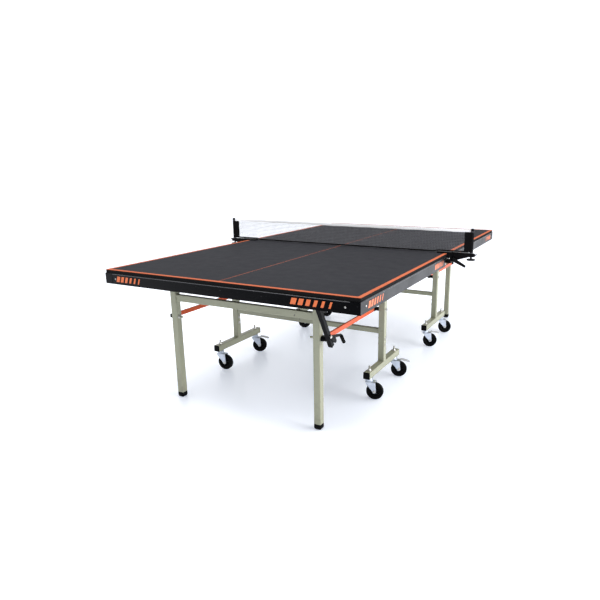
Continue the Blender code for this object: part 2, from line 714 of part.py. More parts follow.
def net_post(side, sign):
    """A clamp on the board's edge, with the arm and the pole that hold one end of the net."""
    pole_x = TABLE_WIDTH / 2 + NET_OVERHANG - NET_POLE_RADIUS
    arm = prism(NET_ARM, "y", *NET_ARM_Y)
    pole_top = TABLE_HEIGHT + NET_HEIGHT + NET_POLE_EXTRA
    pole = rod("z", (pole_x, NET_Y), NET_POLE_RADIUS, NET_POLE_BOTTOM, pole_top, ROUND_POLE)
    wing = prism(WING, "y", NET_Y - WING_HALF, NET_Y + WING_HALF)
    pin = rod("y", CLAMP_PIVOT, CLAMP_PIN_RADIUS, CLAMP_LEVER_Y[0], NET_ARM_Y[1] - BITE, ROUND_PIN)
    mesh = combined(net_clamp() + [arm, pole, wing, pin])
    if sign < 0:
        mesh = mirrored(mesh)
    node(f"net_post_{side}", mesh, material("black_nylon", BLACK_NYLON, 0.5))


def net_clamp_lever(side, sign):
    """The lever that tightens a net clamp."""
    outline = stadium(CLAMP_PIVOT, CLAMP_LEVER_END, CLAMP_LEVER_RADIUS, CLAMP_LEVER_TIP)
    body = prism(outline, "y", *CLAMP_LEVER_Y)
    bore = rod("y", CLAMP_PIVOT, CLAMP_PIN_RADIUS + BORE_CLEARANCE, CLAMP_LEVER_Y[0] - CUT_REACH,
               CLAMP_LEVER_Y[1] + CUT_REACH, ROUND_PIN)
    mesh = combined([body], [bore])
    if sign < 0:
        mesh = mirrored(mesh)
    node(f"net_clamp_lever_{side}", mesh, material("black_nylon", BLACK_NYLON, 0.5), None,
         (sign * CLAMP_PIVOT[0], 0, CLAMP_PIVOT[1]))


def net_knob(side, sign):
    """The knob under a net pole, which sets the net's height."""
    centre = (sign * (TABLE_WIDTH / 2 + NET_OVERHANG - NET_POLE_RADIUS), NET_Y)
    disc = rod("z", centre, KNOB_RADIUS, KNOB_TOP - KNOB_THICKNESS, KNOB_TOP, ROUND_KNOB)
    stem = rod("z", centre, KNOB_STEM_RADIUS, KNOB_TOP - BITE, KNOB_STEM_TOP)
    node(f"net_knob_{side}", combined([disc, stem]), material("black_nylon", BLACK_NYLON, 0.5),
         None, (*centre, 0))


def net():
    """The net as a thin sheet between the poles, lifted over the two clamps."""
    end = TABLE_WIDTH / 2 + NET_OVERHANG - 2 * NET_POLE_RADIUS - NET_POLE_GAP
    bottom = TABLE_HEIGHT + NET_RISE
    raised = TABLE_HEIGHT + CLAMP_JAW_HEIGHT + NET_OVER_JAW
    right = [(CLAMP_JAW_X - NET_RISE_START, bottom), (CLAMP_JAW_X - NET_RISE, raised)]
    right += [(end, raised), (end, TABLE_HEIGHT + NET_HEIGHT)]
    outline = right + [(-x, z) for x, z in reversed(right)]
    mesh = prism(outline, "y", NET_Y - NET_THICKNESS / 2, NET_Y + NET_THICKNESS / 2)
    node("net", mesh, material("net_cord", NET_BLACK, 0.9))


def table_half(half, turned_half, headings):
    """Everything that one half has."""
    frame = empty(f"{half}_half", turn=math.pi if turned_half else 0.0)
    board(half, frame)
    apron(half, frame)
    end_leg_frame(half, frame)
    carriage_bar(half, frame)
    lock_arm(half, frame)
    lock_lever(half, frame)
    lever_grip(half, frame)
    for sign in (1, -1):
        side = "right" if (sign > 0) != turned_half else "left"
        rail(half, side, sign, frame)
        foot(half, side, sign, frame)
        t_leg(half, side, sign, frame)
        link(half, side, sign, frame)
    castors(half, frame, turned_half, headings)


def main():
    """Builds the whole table."""
    clear_scene()
    table_half("near", False, NEAR_HEADINGS)
    table_half("far", True, FAR_HEADINGS)
    for side, sign in (("right", 1), ("left", -1)):
        net_post(side, sign)
        net_clamp_lever(side, sign)
        net_knob(side, sign)
    net()


main()
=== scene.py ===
"""Looks of the folding table-tennis table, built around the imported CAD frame. Metres, +Z up.

Details are drawn at the near half's place, and a matrix carries them to the far half. Small ones
are gathered in groups, one mesh for each body and finish.
"""

import math

import bmesh
import bpy
from mathutils import Matrix, Vector


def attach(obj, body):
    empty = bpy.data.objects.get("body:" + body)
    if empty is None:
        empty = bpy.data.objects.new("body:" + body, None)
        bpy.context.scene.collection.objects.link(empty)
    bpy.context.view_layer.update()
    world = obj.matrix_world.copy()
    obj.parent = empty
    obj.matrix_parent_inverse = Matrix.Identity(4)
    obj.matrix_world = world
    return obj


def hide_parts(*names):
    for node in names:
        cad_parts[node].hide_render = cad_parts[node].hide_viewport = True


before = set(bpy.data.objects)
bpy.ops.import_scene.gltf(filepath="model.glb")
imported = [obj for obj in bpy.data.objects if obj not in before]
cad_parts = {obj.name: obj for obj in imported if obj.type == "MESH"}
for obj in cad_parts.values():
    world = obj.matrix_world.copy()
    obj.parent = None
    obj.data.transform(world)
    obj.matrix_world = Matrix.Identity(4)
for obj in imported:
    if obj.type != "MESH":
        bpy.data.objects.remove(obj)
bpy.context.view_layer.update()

IDENTITY = Matrix.Identity(4)
HALVES = {"near": IDENTITY, "far": Matrix.Rotation(math.pi, 4, "Z")}
MIRROR = Matrix.Scale(-1, 4, (1, 0, 0))
# local z runs along the named axis, and an outline's (u, v) lie across it in xyz order
ALONG = {
    "x": Matrix(((0, 0, 1, 0), (1, 0, 0, 0), (0, 1, 0, 0), (0, 0, 0, 1))),
    "y": Matrix(((1, 0, 0, 0), (0, 0, 1, 0), (0, 1, 0, 0), (0, 0, 0, 1))),
    "z": IDENTITY,
}

# camera
CAMERA_PLACE = (1.6605, -3.3877, 1.2954)
CAMERA_TURN = -27.95
CAMERA_TILT = 15.03
CAMERA_ROLL = -0.4387
CAMERA_LENS = 32.44
CAMERA_SHIFT = (-0.0405, 0.0189)


def make_camera():
    """The camera at the viewing angle of the reference."""
    turn, tilt, roll = (math.radians(a) for a in (CAMERA_TURN, CAMERA_TILT, CAMERA_ROLL))
    ahead = Vector((math.sin(turn) * math.cos(tilt), math.cos(turn) * math.cos(tilt),
                    -math.sin(tilt)))
    right = ahead.cross(Vector((0, 0, 1))).normalized()
    up = right.cross(ahead)
    x = math.cos(roll) * right + math.sin(roll) * up
    y = math.cos(roll) * up - math.sin(roll) * right
    matrix = Matrix((x, y, -ahead)).transposed().to_4x4()
    matrix.translation = CAMERA_PLACE
    data = bpy.data.cameras.new("camera")
    data.lens = CAMERA_LENS
    data.shift_x, data.shift_y = CAMERA_SHIFT
    data.clip_start, data.clip_end = 0.05, 200.0
    camera = bpy.data.objects.new("camera", data)
    camera.matrix_world = matrix
    bpy.context.scene.collection.objects.link(camera)
    bpy.context.scene.camera = camera


# --- procedural finishes ---


class Look:
    """A procedural material, built node by node around one Principled shader."""

    def __init__(self, name, constants=()):
        self.material = bpy.data.materials.new(name)
        self.material.use_nodes = True
        self.tree = self.material.node_tree
        self.shader = self.tree.nodes["Principled BSDF"]
        for socket, value in dict(constants).items():
            self.shader.inputs[socket].default_value = value
        self.place = self.add("TexCoord").outputs["Object"]

    def add(self, kind, inputs=(), **settings):
        """A new shader node with its inputs fed and its settings made."""
        made = self.tree.nodes.new("ShaderNode" + kind)
        for name, value in settings.items():
            setattr(made, name, value)
        for socket, value in dict(inputs).items():
            self.feed(made.inputs[socket], value)
        return made

    def feed(self, socket, value):
        """Link a socket to another, or set its value."""
        if isinstance(value, bpy.types.NodeSocket):
            self.tree.links.new(value, socket)
        else:
            socket.default_value = value

    def drive(self, socket, value):
        """Feed an input of the shader."""
        self.feed(self.shader.inputs[socket], value)

    def noise(self, scale, detail=3.0, stretch=(1, 1, 1), rough=0.55):
        """Noise with that many grains a metre, drawn out along an axis by a small stretch."""
        place = self.add("Mapping", {"Vector": self.place, "Scale": stretch}).outputs[0]
        inputs = {"Vector": place, "Scale": scale, "Detail": detail, "Roughness": rough}
        return self.add("TexNoise", inputs).outputs[0]

    def sum(self, operation, a, b=0.0):
        """A Math node's result."""
        return self.add("Math", {0: a, 1: b}, operation=operation).outputs[0]

    def span(self, value, low, high, to_low=0.0, to_high=1.0):
        """A value mapped from one range to another, and held inside it."""
        inputs = {0: value, 1: low, 2: high, 3: to_low, 4: to_high}
        return self.add("MapRange", inputs).outputs[0]

    def mix(self, share, a, b):
        """Two colours mixed by a share of the second."""
        a, b = ((*c, 1.0) if isinstance(c, tuple) else c for c in (a, b))
        return self.add("Mix", {0: share, 6: a, 7: b}, data_type="RGBA").outputs[2]

    def axes(self):
        """The x, y and z of a point on the object."""
        return self.add("SeparateXYZ", {0: self.place}).outputs

    def bump(self, *layers):
        """Bumps from (height, strength, distance) layers, one on another."""
        normal = None
        for height, strength, distance in layers:
            inputs = {"Height": height, "Strength": strength, "Distance": distance}
            if normal is not None:
                inputs["Normal"] = normal
            normal = self.add("Bump", inputs).outputs[0]
        self.drive("Normal", normal)


def tinted(colour, factor):
    """A colour made lighter or darker."""
    return tuple(min(1.0, c * factor) for c in colour)


def enamel(name, colour, roughness, peel=0.10, peel_scale=420, mottle=0.12, chips=None,
           grime=0.0, constants=()):
    """Powder coat or enamel: orange peel, mottling, scuffs, chips to primer, and floor grime."""
    look = Look(name, constants)
    broad = look.noise(5, 4)
    base = look.mix(look.span(broad, 0.3, 0.7), tinted(colour, 1 - mottle),
                    tinted(colour, 1 + mottle / 2))
    fine = look.noise(peel_scale, 2)
    base = look.mix(look.span(fine, 0.35, 0.75, 0, 0.35), base, tinted(colour, 0.86))
    scuff = look.noise(90, 3, (1, 1, 0.08))
    scuffs = look.span(scuff, 0.60, 0.74)
    base = look.mix(look.sum("MULTIPLY", scuffs, 0.16), base, tinted(colour, 1.5))
    if grime:
        low = look.span(look.axes()[2], 0.0, 0.22, 1.0, 0.0)
        dust = look.sum("MULTIPLY", look.span(look.noise(38, 5), 0.42, 0.7), low)
        base = look.mix(look.sum("MULTIPLY", dust, grime), base, (0.16, 0.14, 0.11))
    height = fine
    if chips:
        spots = look.span(look.noise(55, 2), 0.725, 0.745)
        base = look.mix(spots, base, chips)
        height = look.sum("SUBTRACT", fine, spots)
    look.drive("Base Color", base)
    look.drive("Roughness", look.sum("ADD", look.span(broad, 0.3, 0.7, roughness - 0.05,
                                                     roughness + 0.06),
                                     look.sum("MULTIPLY", scuffs, 0.10)))
    look.bump((height, peel, 0.0006), (look.noise(14, 2), 0.05, 0.002))
    return look.material


def plastic(name, colour, roughness, grain=0.25, grain_scale=1500, constants=(), blotch=0.10):
    """Moulded plastic or rubber: spark-eroded grain, flow marks and handling polish."""
    look = Look(name, constants)
    flow = look.noise(24, 3, (1, 0.3, 1))
    grains = look.noise(grain_scale, 2)
    base = look.mix(look.span(flow, 0.3, 0.7), tinted(colour, 1 - blotch),
                    tinted(colour, 1 + blotch))
    base = look.mix(look.span(grains, 0.55, 0.8, 0, 0.4), base, tinted(colour, 1.7))
    look.drive("Base Color", base)
    look.drive("Roughness", look.span(look.noise(60, 4), 0.3, 0.7, roughness - 0.08,
                                      roughness + 0.08))
    look.bump((grains, grain, 0.0004), (flow, 0.05, 0.001))
    return look.material


def plated(name, colour, roughness, constants=(), brushed=(1, 1, 1)):
    """Plated steel: a soft passivated tint, drawn scratches and dull spots."""
    look = Look(name, {"Metallic": 1.0, **dict(constants)})
    cloud = look.noise(45, 4)
    scratch = look.noise(700, 3, brushed)
    tint = look.mix(look.span(cloud, 0.35, 0.65), tinted(colour, 0.82), colour)
    tint = look.mix(look.span(scratch, 0.5, 0.8, 0, 0.3), tint, tinted(colour, 0.6))
    look.drive("Base Color", tint)
    look.drive("Roughness", look.sum("ADD", look.span(cloud, 0.3, 0.7, roughness - 0.06,
                                                     roughness + 0.10),
                                     look.span(scratch, 0.3, 0.8, 0, 0.08)))
    look.bump((scratch, 0.12, 0.0003))
    return look.material


CHARCOAL = (0.0100, 0.0104, 0.0135)
LINE_ORANGE = (0.33, 0.080, 0.034)
SIDE_LINE_EDGE = 0.7625 - 0.020
END_LINE_EDGE = 1.370 - 0.020
HALF_CENTRE_LINE = 0.0015
PAINTED_Z = 0.7585


def playing_surface():
    """Matt charcoal lacquer with orange lines on top, and sealed black board elsewhere."""
    look = Look("playing_surface", {"Specular IOR Level": 0.05})
    x, y, z = look.axes()
    across, along = look.sum("ABSOLUTE", x), look.sum("ABSOLUTE", y)
    side = look.sum("GREATER_THAN", across, SIDE_LINE_EDGE)
    end = look.sum("GREATER_THAN", along, END_LINE_EDGE)
    middle = look.sum("LESS_THAN", across, HALF_CENTRE_LINE)
    top = look.sum("GREATER_THAN", z, PAINTED_Z)
    line = look.sum("MAXIMUM", look.sum("MAXIMUM", side, end), middle)
    line = look.sum("MULTIPLY", line, top)
    broad, speck, haze = look.noise(2.2, 4), look.noise(1300, 2), look.noise(16, 5)
    lacquer = look.mix(look.span(broad, 0.3, 0.7), tinted(CHARCOAL, 0.94), tinted(CHARCOAL, 1.05))
    lacquer = look.mix(look.span(speck, 0.52, 0.80, 0, 0.4), lacquer, tinted(CHARCOAL, 1.8))
    balls = look.add("TexVoronoi", {"Vector": look.place, "Scale": 11.0})
    marks = look.span(balls.outputs[0], 0.0, 0.09, 0.16, 0.0)
    marks = look.sum("MULTIPLY", marks, look.span(haze, 0.4, 0.6))
    lacquer = look.mix(marks, lacquer, tinted(CHARCOAL, 2.4))
    paint = look.mix(look.span(look.noise(30, 4), 0.3, 0.7), tinted(LINE_ORANGE, 0.90), LINE_ORANGE)
    paint = look.mix(look.span(look.noise(240, 3), 0.66, 0.76, 0, 0.5), paint,
                     tinted(LINE_ORANGE, 0.45))
    sealed = look.mix(look.span(look.noise(300, 4, (1, 0.2, 1)), 0.3, 0.7), (0.004, 0.004, 0.0045),
                      (0.008, 0.0078, 0.0078))
    look.drive("Base Color", look.mix(top, sealed, look.mix(line, lacquer, paint)))
    rough = look.span(haze, 0.3, 0.7, 0.66, 0.72)
    look.drive("Roughness", look.sum("SUBTRACT", rough, look.sum("MULTIPLY", marks, 0.35)))
    look.bump((speck, 0.16, 0.0003), (line, 0.25, 0.0002), (broad, 0.02, 0.01))
    return look.material


def woven(name, colour, pitch, roughness=0.85, depth=0.5, sheen=0.25):
    """Plain-weave cloth, with its threads across and along, in XZ."""
    look = Look(name, {"Sheen Weight": sheen, "Sheen Roughness": 0.5,
                       "Specular IOR Level": 0.3 if sheen else 0.08})
    waves = []
    for turned_axes in ((1, 0, 0), (0, 0, 1)):
        place = look.add("Mapping", {"Vector": look.place, "Scale": turned_axes}).outputs[0]
        inputs = {"Vector": place, "Scale": 0.5 / pitch, "Distortion": 0.4, "Detail": 1.0}
        direction = "X" if turned_axes[0] else "Z"
        waves.append(look.add("TexWave", inputs, bands_direction=direction).outputs[1])
    weave = look.sum("MULTIPLY", waves[0], waves[1])
    base = look.mix(look.span(weave, 0.1, 0.9), tinted(colour, 0.80), colour)
    base = look.mix(look.span(look.noise(18, 4), 0.35, 0.75, 0, 0.5), base, tinted(colour, 0.8))
    look.drive("Base Color", base)
    look.drive("Roughness", look.span(weave, 0, 1, roughness, roughness - 0.15))
    look.bump((weave, depth, 0.0006), (look.noise(900, 2), 0.2, 0.0003))
    return look.material


def make_looks():
    """Every finish by its group name."""
    chip = (0.10, 0.095, 0.085)
    looks = {"surface": playing_surface()}
    dim = {"Specular IOR Level": 0.45, "Specular Tint": (0.02, 0.02, 0.025, 1.0)}
    looks["apron"] = enamel("apron_enamel", (0.0011, 0.0011, 0.0015), 0.32, 0.10, 500, 0.10,
                            chips=(0.02, 0.02, 0.021), constants=dim)
    looks["black"] = enamel("black_enamel", (0.0018, 0.0018, 0.0022), 0.40, 0.14, 520, 0.12,
                            chips=(0.03, 0.03, 0.03), constants={"Specular IOR Level": 0.06})
    # the bead's grey, lighter than the apron's black, is a painted highlight line; its gloss also
    # catches the lamps
    looks["lip"] = enamel("highlight_bead_enamel", (0.035, 0.035, 0.038), 0.14, 0.03, 700, 0.06,
                          constants={"Specular IOR Level": 0.8})
    looks["cream"] = enamel("pebble_enamel", (0.300, 0.304, 0.212), 0.38, 0.12, 460, 0.06,
                            chips=chip, grime=0.5)
    looks["red"] = enamel("orange_red_enamel", (0.56, 0.080, 0.018), 0.36, 0.10, 500, 0.08,
                          chips=chip, constants={"Specular IOR Level": 0.2})
    deep = {"Specular IOR Level": 0.10, "Specular Tint": (0.4, 0.4, 0.42, 1.0)}
    looks["rubber"] = plastic("black_rubber", (0.0036, 0.0036, 0.0036), 0.66, 0.35, 1200, deep)
    looks["tyre"] = plastic("tyre_rubber", (0.0030, 0.0030, 0.0032), 0.46, 0.20, 900, deep)
    looks["nylon"] = plastic("black_nylon", (0.0034, 0.0034, 0.0038), 0.42, 0.30, 1500, deep)
    looks["hub"] = plastic("hub_nylon", (0.0034, 0.0034, 0.0038), 0.38, 0.2, 1500, deep)
    looks["pedal"] = plastic("grey_nylon", (0.46, 0.47, 0.49), 0.46, 0.25, 1400)
    looks["zinc"] = plated("zinc", (0.66, 0.71, 0.80), 0.32, brushed=(1, 1, 0.15))
    looks["bolt"] = plated("bolt_steel", (0.62, 0.61, 0.58), 0.28)
    looks["black_bolt"] = plated("black_bolt", (0.022, 0.022, 0.025), 0.42)
    looks["copper"] = plated("coppered_screw", (0.70, 0.33, 0.17), 0.32)
    looks["weld"] = enamel("weld_enamel", (0.330, 0.335, 0.240), 0.42, 0.35, 900, 0.16)
    looks["accent"] = enamel("accent_orange", (0.66, 0.13, 0.022), 0.30, 0.05, 700, 0.05)
    looks["tape"] = woven("net_tape_cloth", (0.93, 0.94, 0.96), 0.0007)
    looks["band"] = woven("net_band_cloth", (0.0036, 0.0036, 0.0042), 0.0008, sheen=0.0)
    # the yarn's dark grey is partly its own tone and partly a painted sheen over black yarn
    looks["strand"] = plastic("net_yarn_painted_sheen", (0.105, 0.106, 0.118), 0.75, 0.8, 1800)
    looks["thread"] = plastic("sewing_thread", (0.60, 0.60, 0.58), 0.8, 0.6, 2500)
    return looks


# --- shapes ---

# a direction that no bar runs along, to turn a bar's cross-section from
ASKEW = Vector((0.31, 0.17, 0.94))


class Shape:
    """Closed bodies gathered in one mesh, each drawn through a matrix."""

    def __init__(self):
        self.bm = bmesh.new()

    def loft(self, rings, matrix=IDENTITY, closed=False):
        """Skin over rings of points, with a cap at each end unless it closes on itself."""
        rows = [[self.bm.verts.new(matrix @ Vector(p)) for p in ring] for ring in rings]
        pairs = list(zip(rows, rows[1:])) + ([(rows[-1], rows[0])] if closed else [])
        for here, there in pairs:
            for i, point in enumerate(here):
                j = (i + 1) % len(here)
                self.bm.faces.new((point, here[j], there[j], there[i]))
        if not closed:
            self.bm.faces.new(rows[0])
            self.bm.faces.new(rows[-1])

    def lathe(self, profile, matrix=IDENTITY, steps=24, closed=False, lobes=0, depth=0.0):
        """(radius, height) points turned about local z, with lobes cut round it."""
        rings = []
        for radius, height in profile:
            ring = []
            for i in range(steps):
                a = 2 * math.pi * i / steps
                r = radius * (1 - depth * (0.5 + 0.5 * math.cos(lobes * a))) if lobes else radius
                ring.append((r * math.cos(a), r * math.sin(a), height))
            rings.append(ring)
        self.loft(rings, matrix, closed)

    def prism(self, outline, low, high, matrix=IDENTITY):
        """An outline of (u, v) points from low to high along local z."""
        self.loft([[(u, v, w) for u, v in outline] for w in (low, high)], matrix)

    def block(self, low, high, matrix=IDENTITY, radius=0.001):
        """A box with round upright edges."""
        self.prism(rounded(low[:2], high[:2], radius), low[2], high[2], matrix)

    def tube(self, path, radius, matrix=IDENTITY, sides=8, closed=False):
        """A round bar along a path of points."""
        points = [Vector(p) for p in path]
        rings = []
        for i, point in enumerate(points):
            before = points[i - 1] if i or closed else point
            after = points[(i + 1) % len(points)] if i + 1 < len(points) or closed else point
            ahead = (after - before).normalized()
            across = ahead.cross(ASKEW).normalized()
            up = across.cross(ahead)
            r = radius[i] if isinstance(radius, list) else radius
            angles = [2 * math.pi * k / sides for k in range(sides)]
            rings.append([point + r * (math.cos(a) * across + math.sin(a) * up) for a in angles])
        self.loft(rings, matrix, closed)

    def mesh(self, name):
        """The finished mesh, with its normals facing out."""
        bmesh.ops.recalc_face_normals(self.bm, faces=self.bm.faces)
        made = bpy.data.meshes.new(name)
        self.bm.to_mesh(made)
        self.bm.free()
        return made


def rounded(low, high, radius, steps=3):
    """A rectangle between two corners with round corners, as (u, v) points."""
    outline = []
    centres = [(high[0] - radius, high[1] - radius), (low[0] + radius, high[1] - radius),
               (low[0] + radius, low[1] + radius), (high[0] - radius, low[1] + radius)]
    for quarter, (u, v) in enumerate(centres):
        for i in range(steps + 1):
            a = math.pi / 2 * (quarter + i / steps)
            outline.append((u + radius * math.cos(a), v + radius * math.sin(a)))
    return outline


def aim(point, direction):
    """A matrix that puts local z along a direction from a point."""
    turn = Vector(direction).to_track_quat("Z", "Y").to_matrix().to_4x4()
    return Matrix.Translation(point) @ turn


def screw(shape, point, direction, matrix=IDENTITY, radius=0.004, height=0.0016):
    """A pan-head screw with a round socket."""
    profile = [(radius, 0), (radius, height * 0.35), (radius * 0.82, height * 0.85),
               (radius * 0.5, height), (radius * 0.42, height), (radius * 0.38, height * 0.3),
               (radius * 0.05, height * 0.2)]
    shape.lathe(profile, matrix @ aim(point, direction), 14)


def hexagon(shape, point, direction, radius, height, matrix=IDENTITY, washer=0.0, stub=0.0):
    """A chamfered hexagon head or nut, over a washer if one is given, with a thread stub."""
    place = matrix @ aim(point, direction)
    base = 0.0
    if washer:
        base = 0.0014
        shape.lathe([(washer, 0), (washer, base * 0.8), (washer - base * 0.3, base)], place, 24)
    levels = [(1.0, base), (1.0, height * 0.82), (0.88, height)]
    rings = [[(k * radius * math.cos(i * math.pi / 3), k * radius * math.sin(i * math.pi / 3), h)
              for i in range(6)] for k, h in levels]
    shape.loft(rings, place)
    if stub:
        threaded(shape, place, radius * 0.52, height * 0.9, height + stub)


def threaded(shape, place, radius, low, high, pitch=0.0015):
    """A threaded bar along local z, as fine rings."""
    profile = []
    count = max(2, round((high - low) / pitch))
    for i in range(count):
        start = low + (high - low) * i / count
        profile += [(radius * 0.86, start), (radius, start + pitch * 0.5)]
    profile.append((radius * 0.8, high))
    shape.lathe(profile, place, 14)


groups = {}


def group(body, finish, detail):
    """The shape that gathers this finish on this body."""
    return groups.setdefault((body, finish, detail), Shape())


def bevelled(target, width):
    """A bevel along an object's sharp edges, worked out when the scene is rendered."""
    if width:
        bevel = target.modifiers.new("edge", "BEVEL")
        bevel.width = width
        bevel.segments = 2
        bevel.limit_method = "ANGLE"
        bevel.angle_limit = math.radians(40)


def piece(name, shape, finish, body, bevel=0.0, replaced=(), smooth=40):
    """An object from a shape: dressed, riding on its body, and standing for CAD nodes."""
    mesh = shape.mesh(name)
    mesh.materials.append(looks[finish])
    mesh.shade_smooth()
    mesh.set_sharp_from_angle(angle=math.radians(smooth))
    made = bpy.data.objects.new(name, mesh)
    bpy.context.scene.collection.objects.link(made)
    bevelled(made, bevel)
    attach(made, body)
    if replaced:
        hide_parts(*replaced)
    return made


# --- carried-over CAD nodes ---

DRESS = [("board", "surface", 0.0012), ("apron", "apron", 0.0008), ("rail", "black", 0.0),
         ("end_leg_frame", "cream", 0.0), ("t_leg", "cream", 0.0), ("carriage_bar", "cream", 0.0),
         ("link", "red", 0.0012), ("lock_arm", "black", 0.0008), ("lock_lever", "black", 0.0005),
         ("net_post", "nylon", 0.0009)]


def dress_frame():
    """A finish, and a bevel where edges are bare, for each CAD node that stays."""
    for name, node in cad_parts.items():
        for part, finish, bevel in DRESS:
            if name.endswith("_" + part) or f"_{part}_" in name or name.startswith(part + "_"):
                node.data.materials.clear()
                node.data.materials.append(looks[finish])
                bevelled(node, bevel)
                break


# --- details of each half, drawn at the near half's place ---

APRON_X, APRON_Y = 0.764, 1.3715
LEG_X, LEG_Y, LEG_HALF = 0.4535, -1.180, 0.019
POST_X, POST_Y, POST_HALF = 0.532, -0.530, 0.019
BASE_Y, BASE_HALF_LENGTH = -0.523, 0.235
LINK_Z, PIVOT_Z = 0.485, 0.715
LINK_INNER, LINK_OUTER = 0.4736, 0.4853
LINK_CAP_RADIUS, LINK_CAP_REACH = 0.0137, 0.0162
LEG_PIVOT_Y, CARRIAGE_PIVOT_Y = -1.125, -0.475
STEM_YS = (-0.327, -0.719)
RAIL_X, RAIL_PIVOT_FACE = 0.4935, 0.4835
TUBE_TOP, LID_HALF, LID_TOP = 0.6995, 0.0185, 0.7025
BASE_TOP, BASE_MIDDLE = 0.170, 0.150
THROUGH_BOLT_ZS = (0.272, 0.309)
SCREW_Z, LEDGE_Z = 0.712, 0.7391
LIP_Z, LIP_RADIUS = 0.7370, 0.0017

# rows of accent bars, as start along the apron and length
ACCENTS_END = ((-0.685, 0.190), (0.415, 0.235))
ACCENTS_SIDE = ((-1.290, 0.190), (-0.300, 0.190))
ACCENT_BARS = 6
ACCENT_LOW, ACCENT_HIGH = 0.697, 0.727
ACCENT_LEAN = 0.010
ACCENT_THICKNESS = 0.0004


def both_sides(matrix):
    """The matrices of a half's right side and of its mirrored left side."""
    return matrix, matrix @ MIRROR


def slanted(shape, start, length, place):
    """A row of leaning bars that thin out along the row."""
    step = length / ACCENT_BARS
    for i in range(ACCENT_BARS):
        width = step * (0.72 - 0.09 * i)
        u = start + step * i
        outline = [(u, ACCENT_LOW), (u + width, ACCENT_LOW)]
        outline += [(u + width + ACCENT_LEAN, ACCENT_HIGH), (u + ACCENT_LEAN, ACCENT_HIGH)]
        shape.prism(outline, 0, ACCENT_THICKNESS, place)


def top_details(half, matrix):
    """Corner screws, screws under the rails and aprons, the bead along the apron's top edge with a
    painted highlight line in its grey, and accent bars.
    """
    body = f"{half}_top"
    bright, accent = group(body, "bolt", "screws"), group(body, "accent", "bars")
    lip = group(body, "lip", "bead")
    for flip in both_sides(matrix):
        screw(bright, (0.692, -APRON_Y + 0.0004, SCREW_Z), (0, -1, 0), flip, 0.0045, 0.0012)
        screw(bright, (APRON_X, -1.312, SCREW_Z), (1, 0, 0), flip, 0.0045)
        screw(bright, (0.742, -APRON_Y - 0.0001, SCREW_Z), (0, -1, 0), flip, 0.0026, 0.0008)
        for y in (-1.31, -0.98, -0.70, -0.36, -0.13):
            screw(bright, (RAIL_X, y, 0.6987), (0, 0, -1), flip, 0.0040)
        for y in (-1.25, -0.95, -0.65, -0.35, -0.12):
            screw(bright, (APRON_X - 0.014, y, LEDGE_Z), (0, 0, -1), flip, 0.0036)
        for x in (0.15, 0.42, 0.66):
            screw(bright, (x, -APRON_Y + 0.014, LEDGE_Z), (0, 0, -1), flip, 0.0036)
        # a bead along the apron's top edge, grey for a painted highlight line
        lip.tube([(APRON_X - 0.0008, y, LIP_Z) for y in (-1.3190, -0.9, -0.5, -0.0740)],
                 LIP_RADIUS, flip, 10)
    lip.tube([(x, -APRON_Y + 0.0008, LIP_Z) for x in (-0.7140, -0.3, 0.3, 0.7140)], LIP_RADIUS,
             matrix, 10)
    outwards = ALONG["y"] @ Matrix.Scale(-1, 4, (0, 0, 1))
    to_end = matrix @ Matrix.Translation((0, -APRON_Y, 0)) @ outwards
    for start, length in ACCENTS_END:
        slanted(accent, start, length, to_end)
    for flip in both_sides(matrix):
        to_side = flip @ Matrix.Translation((APRON_X, 0, 0)) @ ALONG["x"]
        for start, length in ACCENTS_SIDE:
            slanted(accent, start, length, to_side)


def tube_lid(shape, x, y, matrix):
    """A flat plastic lid in the top of an upright tube."""
    shape.block((x - LID_HALF, y - LID_HALF, TUBE_TOP), (x + LID_HALF, y + LID_HALF, LID_TOP),
                matrix, 0.003)


def leg_details(half, matrix):
    """Bolts, square nut caps, weld beads and tube ends of the end legs."""
    body = f"{half}_legs"
    steel, caps = group(body, "bolt", "bolts"), group(body, "nylon", "caps")
    dark, welds = group(body, "black_bolt", "bolts"), group(body, "weld", "beads")
    for mirrored, flip in enumerate(both_sides(matrix)):
        hexagon(steel, (LEG_X - LEG_HALF, LEG_Y, LINK_Z), (-1, 0, 0), 0.0098, 0.0075, flip, 0.0115,
                0.0165)
        if mirrored:
            outline = rounded((-0.0105, -0.0105), (0.0105, 0.0105), 0.003)
            rings = [[(k * u, k * v, w) for u, v in outline]
                     for k, w in ((0.94, 0.0), (1.0, 0.0008), (1.0, 0.0064), (0.90, 0.0078))]
            caps.loft(rings, flip @ aim((0.4857, LEG_Y, LINK_Z), (1, 0, 0)))
        else:
            sleeve = [(0.0104, 0.4858), (0.0112, 0.4866), (0.0112, 0.4960), (0.0106, 0.4968),
                      (0.0106, 0.5160), (0.0098, 0.5166), (0.0098, 0.4858)]
            caps.lathe(sleeve, flip @ Matrix.Translation((0, LEG_Y, LINK_Z)) @ ALONG["x"], 28, True)
            threaded(steel, flip @ aim((0.5168, LEG_Y, LINK_Z), (1, 0, 0)), 0.0063, 0.0, 0.0126)
        # the pivot at the rail, with its nut against the rail's far side
        hexagon(dark, (RAIL_PIVOT_FACE, LEG_PIVOT_Y, PIVOT_Z), (-1, 0, 0), 0.0095, 0.006, flip,
                0.012)
        bead(welds, ("x", LEG_X - LEG_HALF), (LEG_Y - 0.0125, 0.576), (LEG_Y + 0.0125, 0.614), flip)
        tube_lid(caps, LEG_X, LEG_Y, flip)


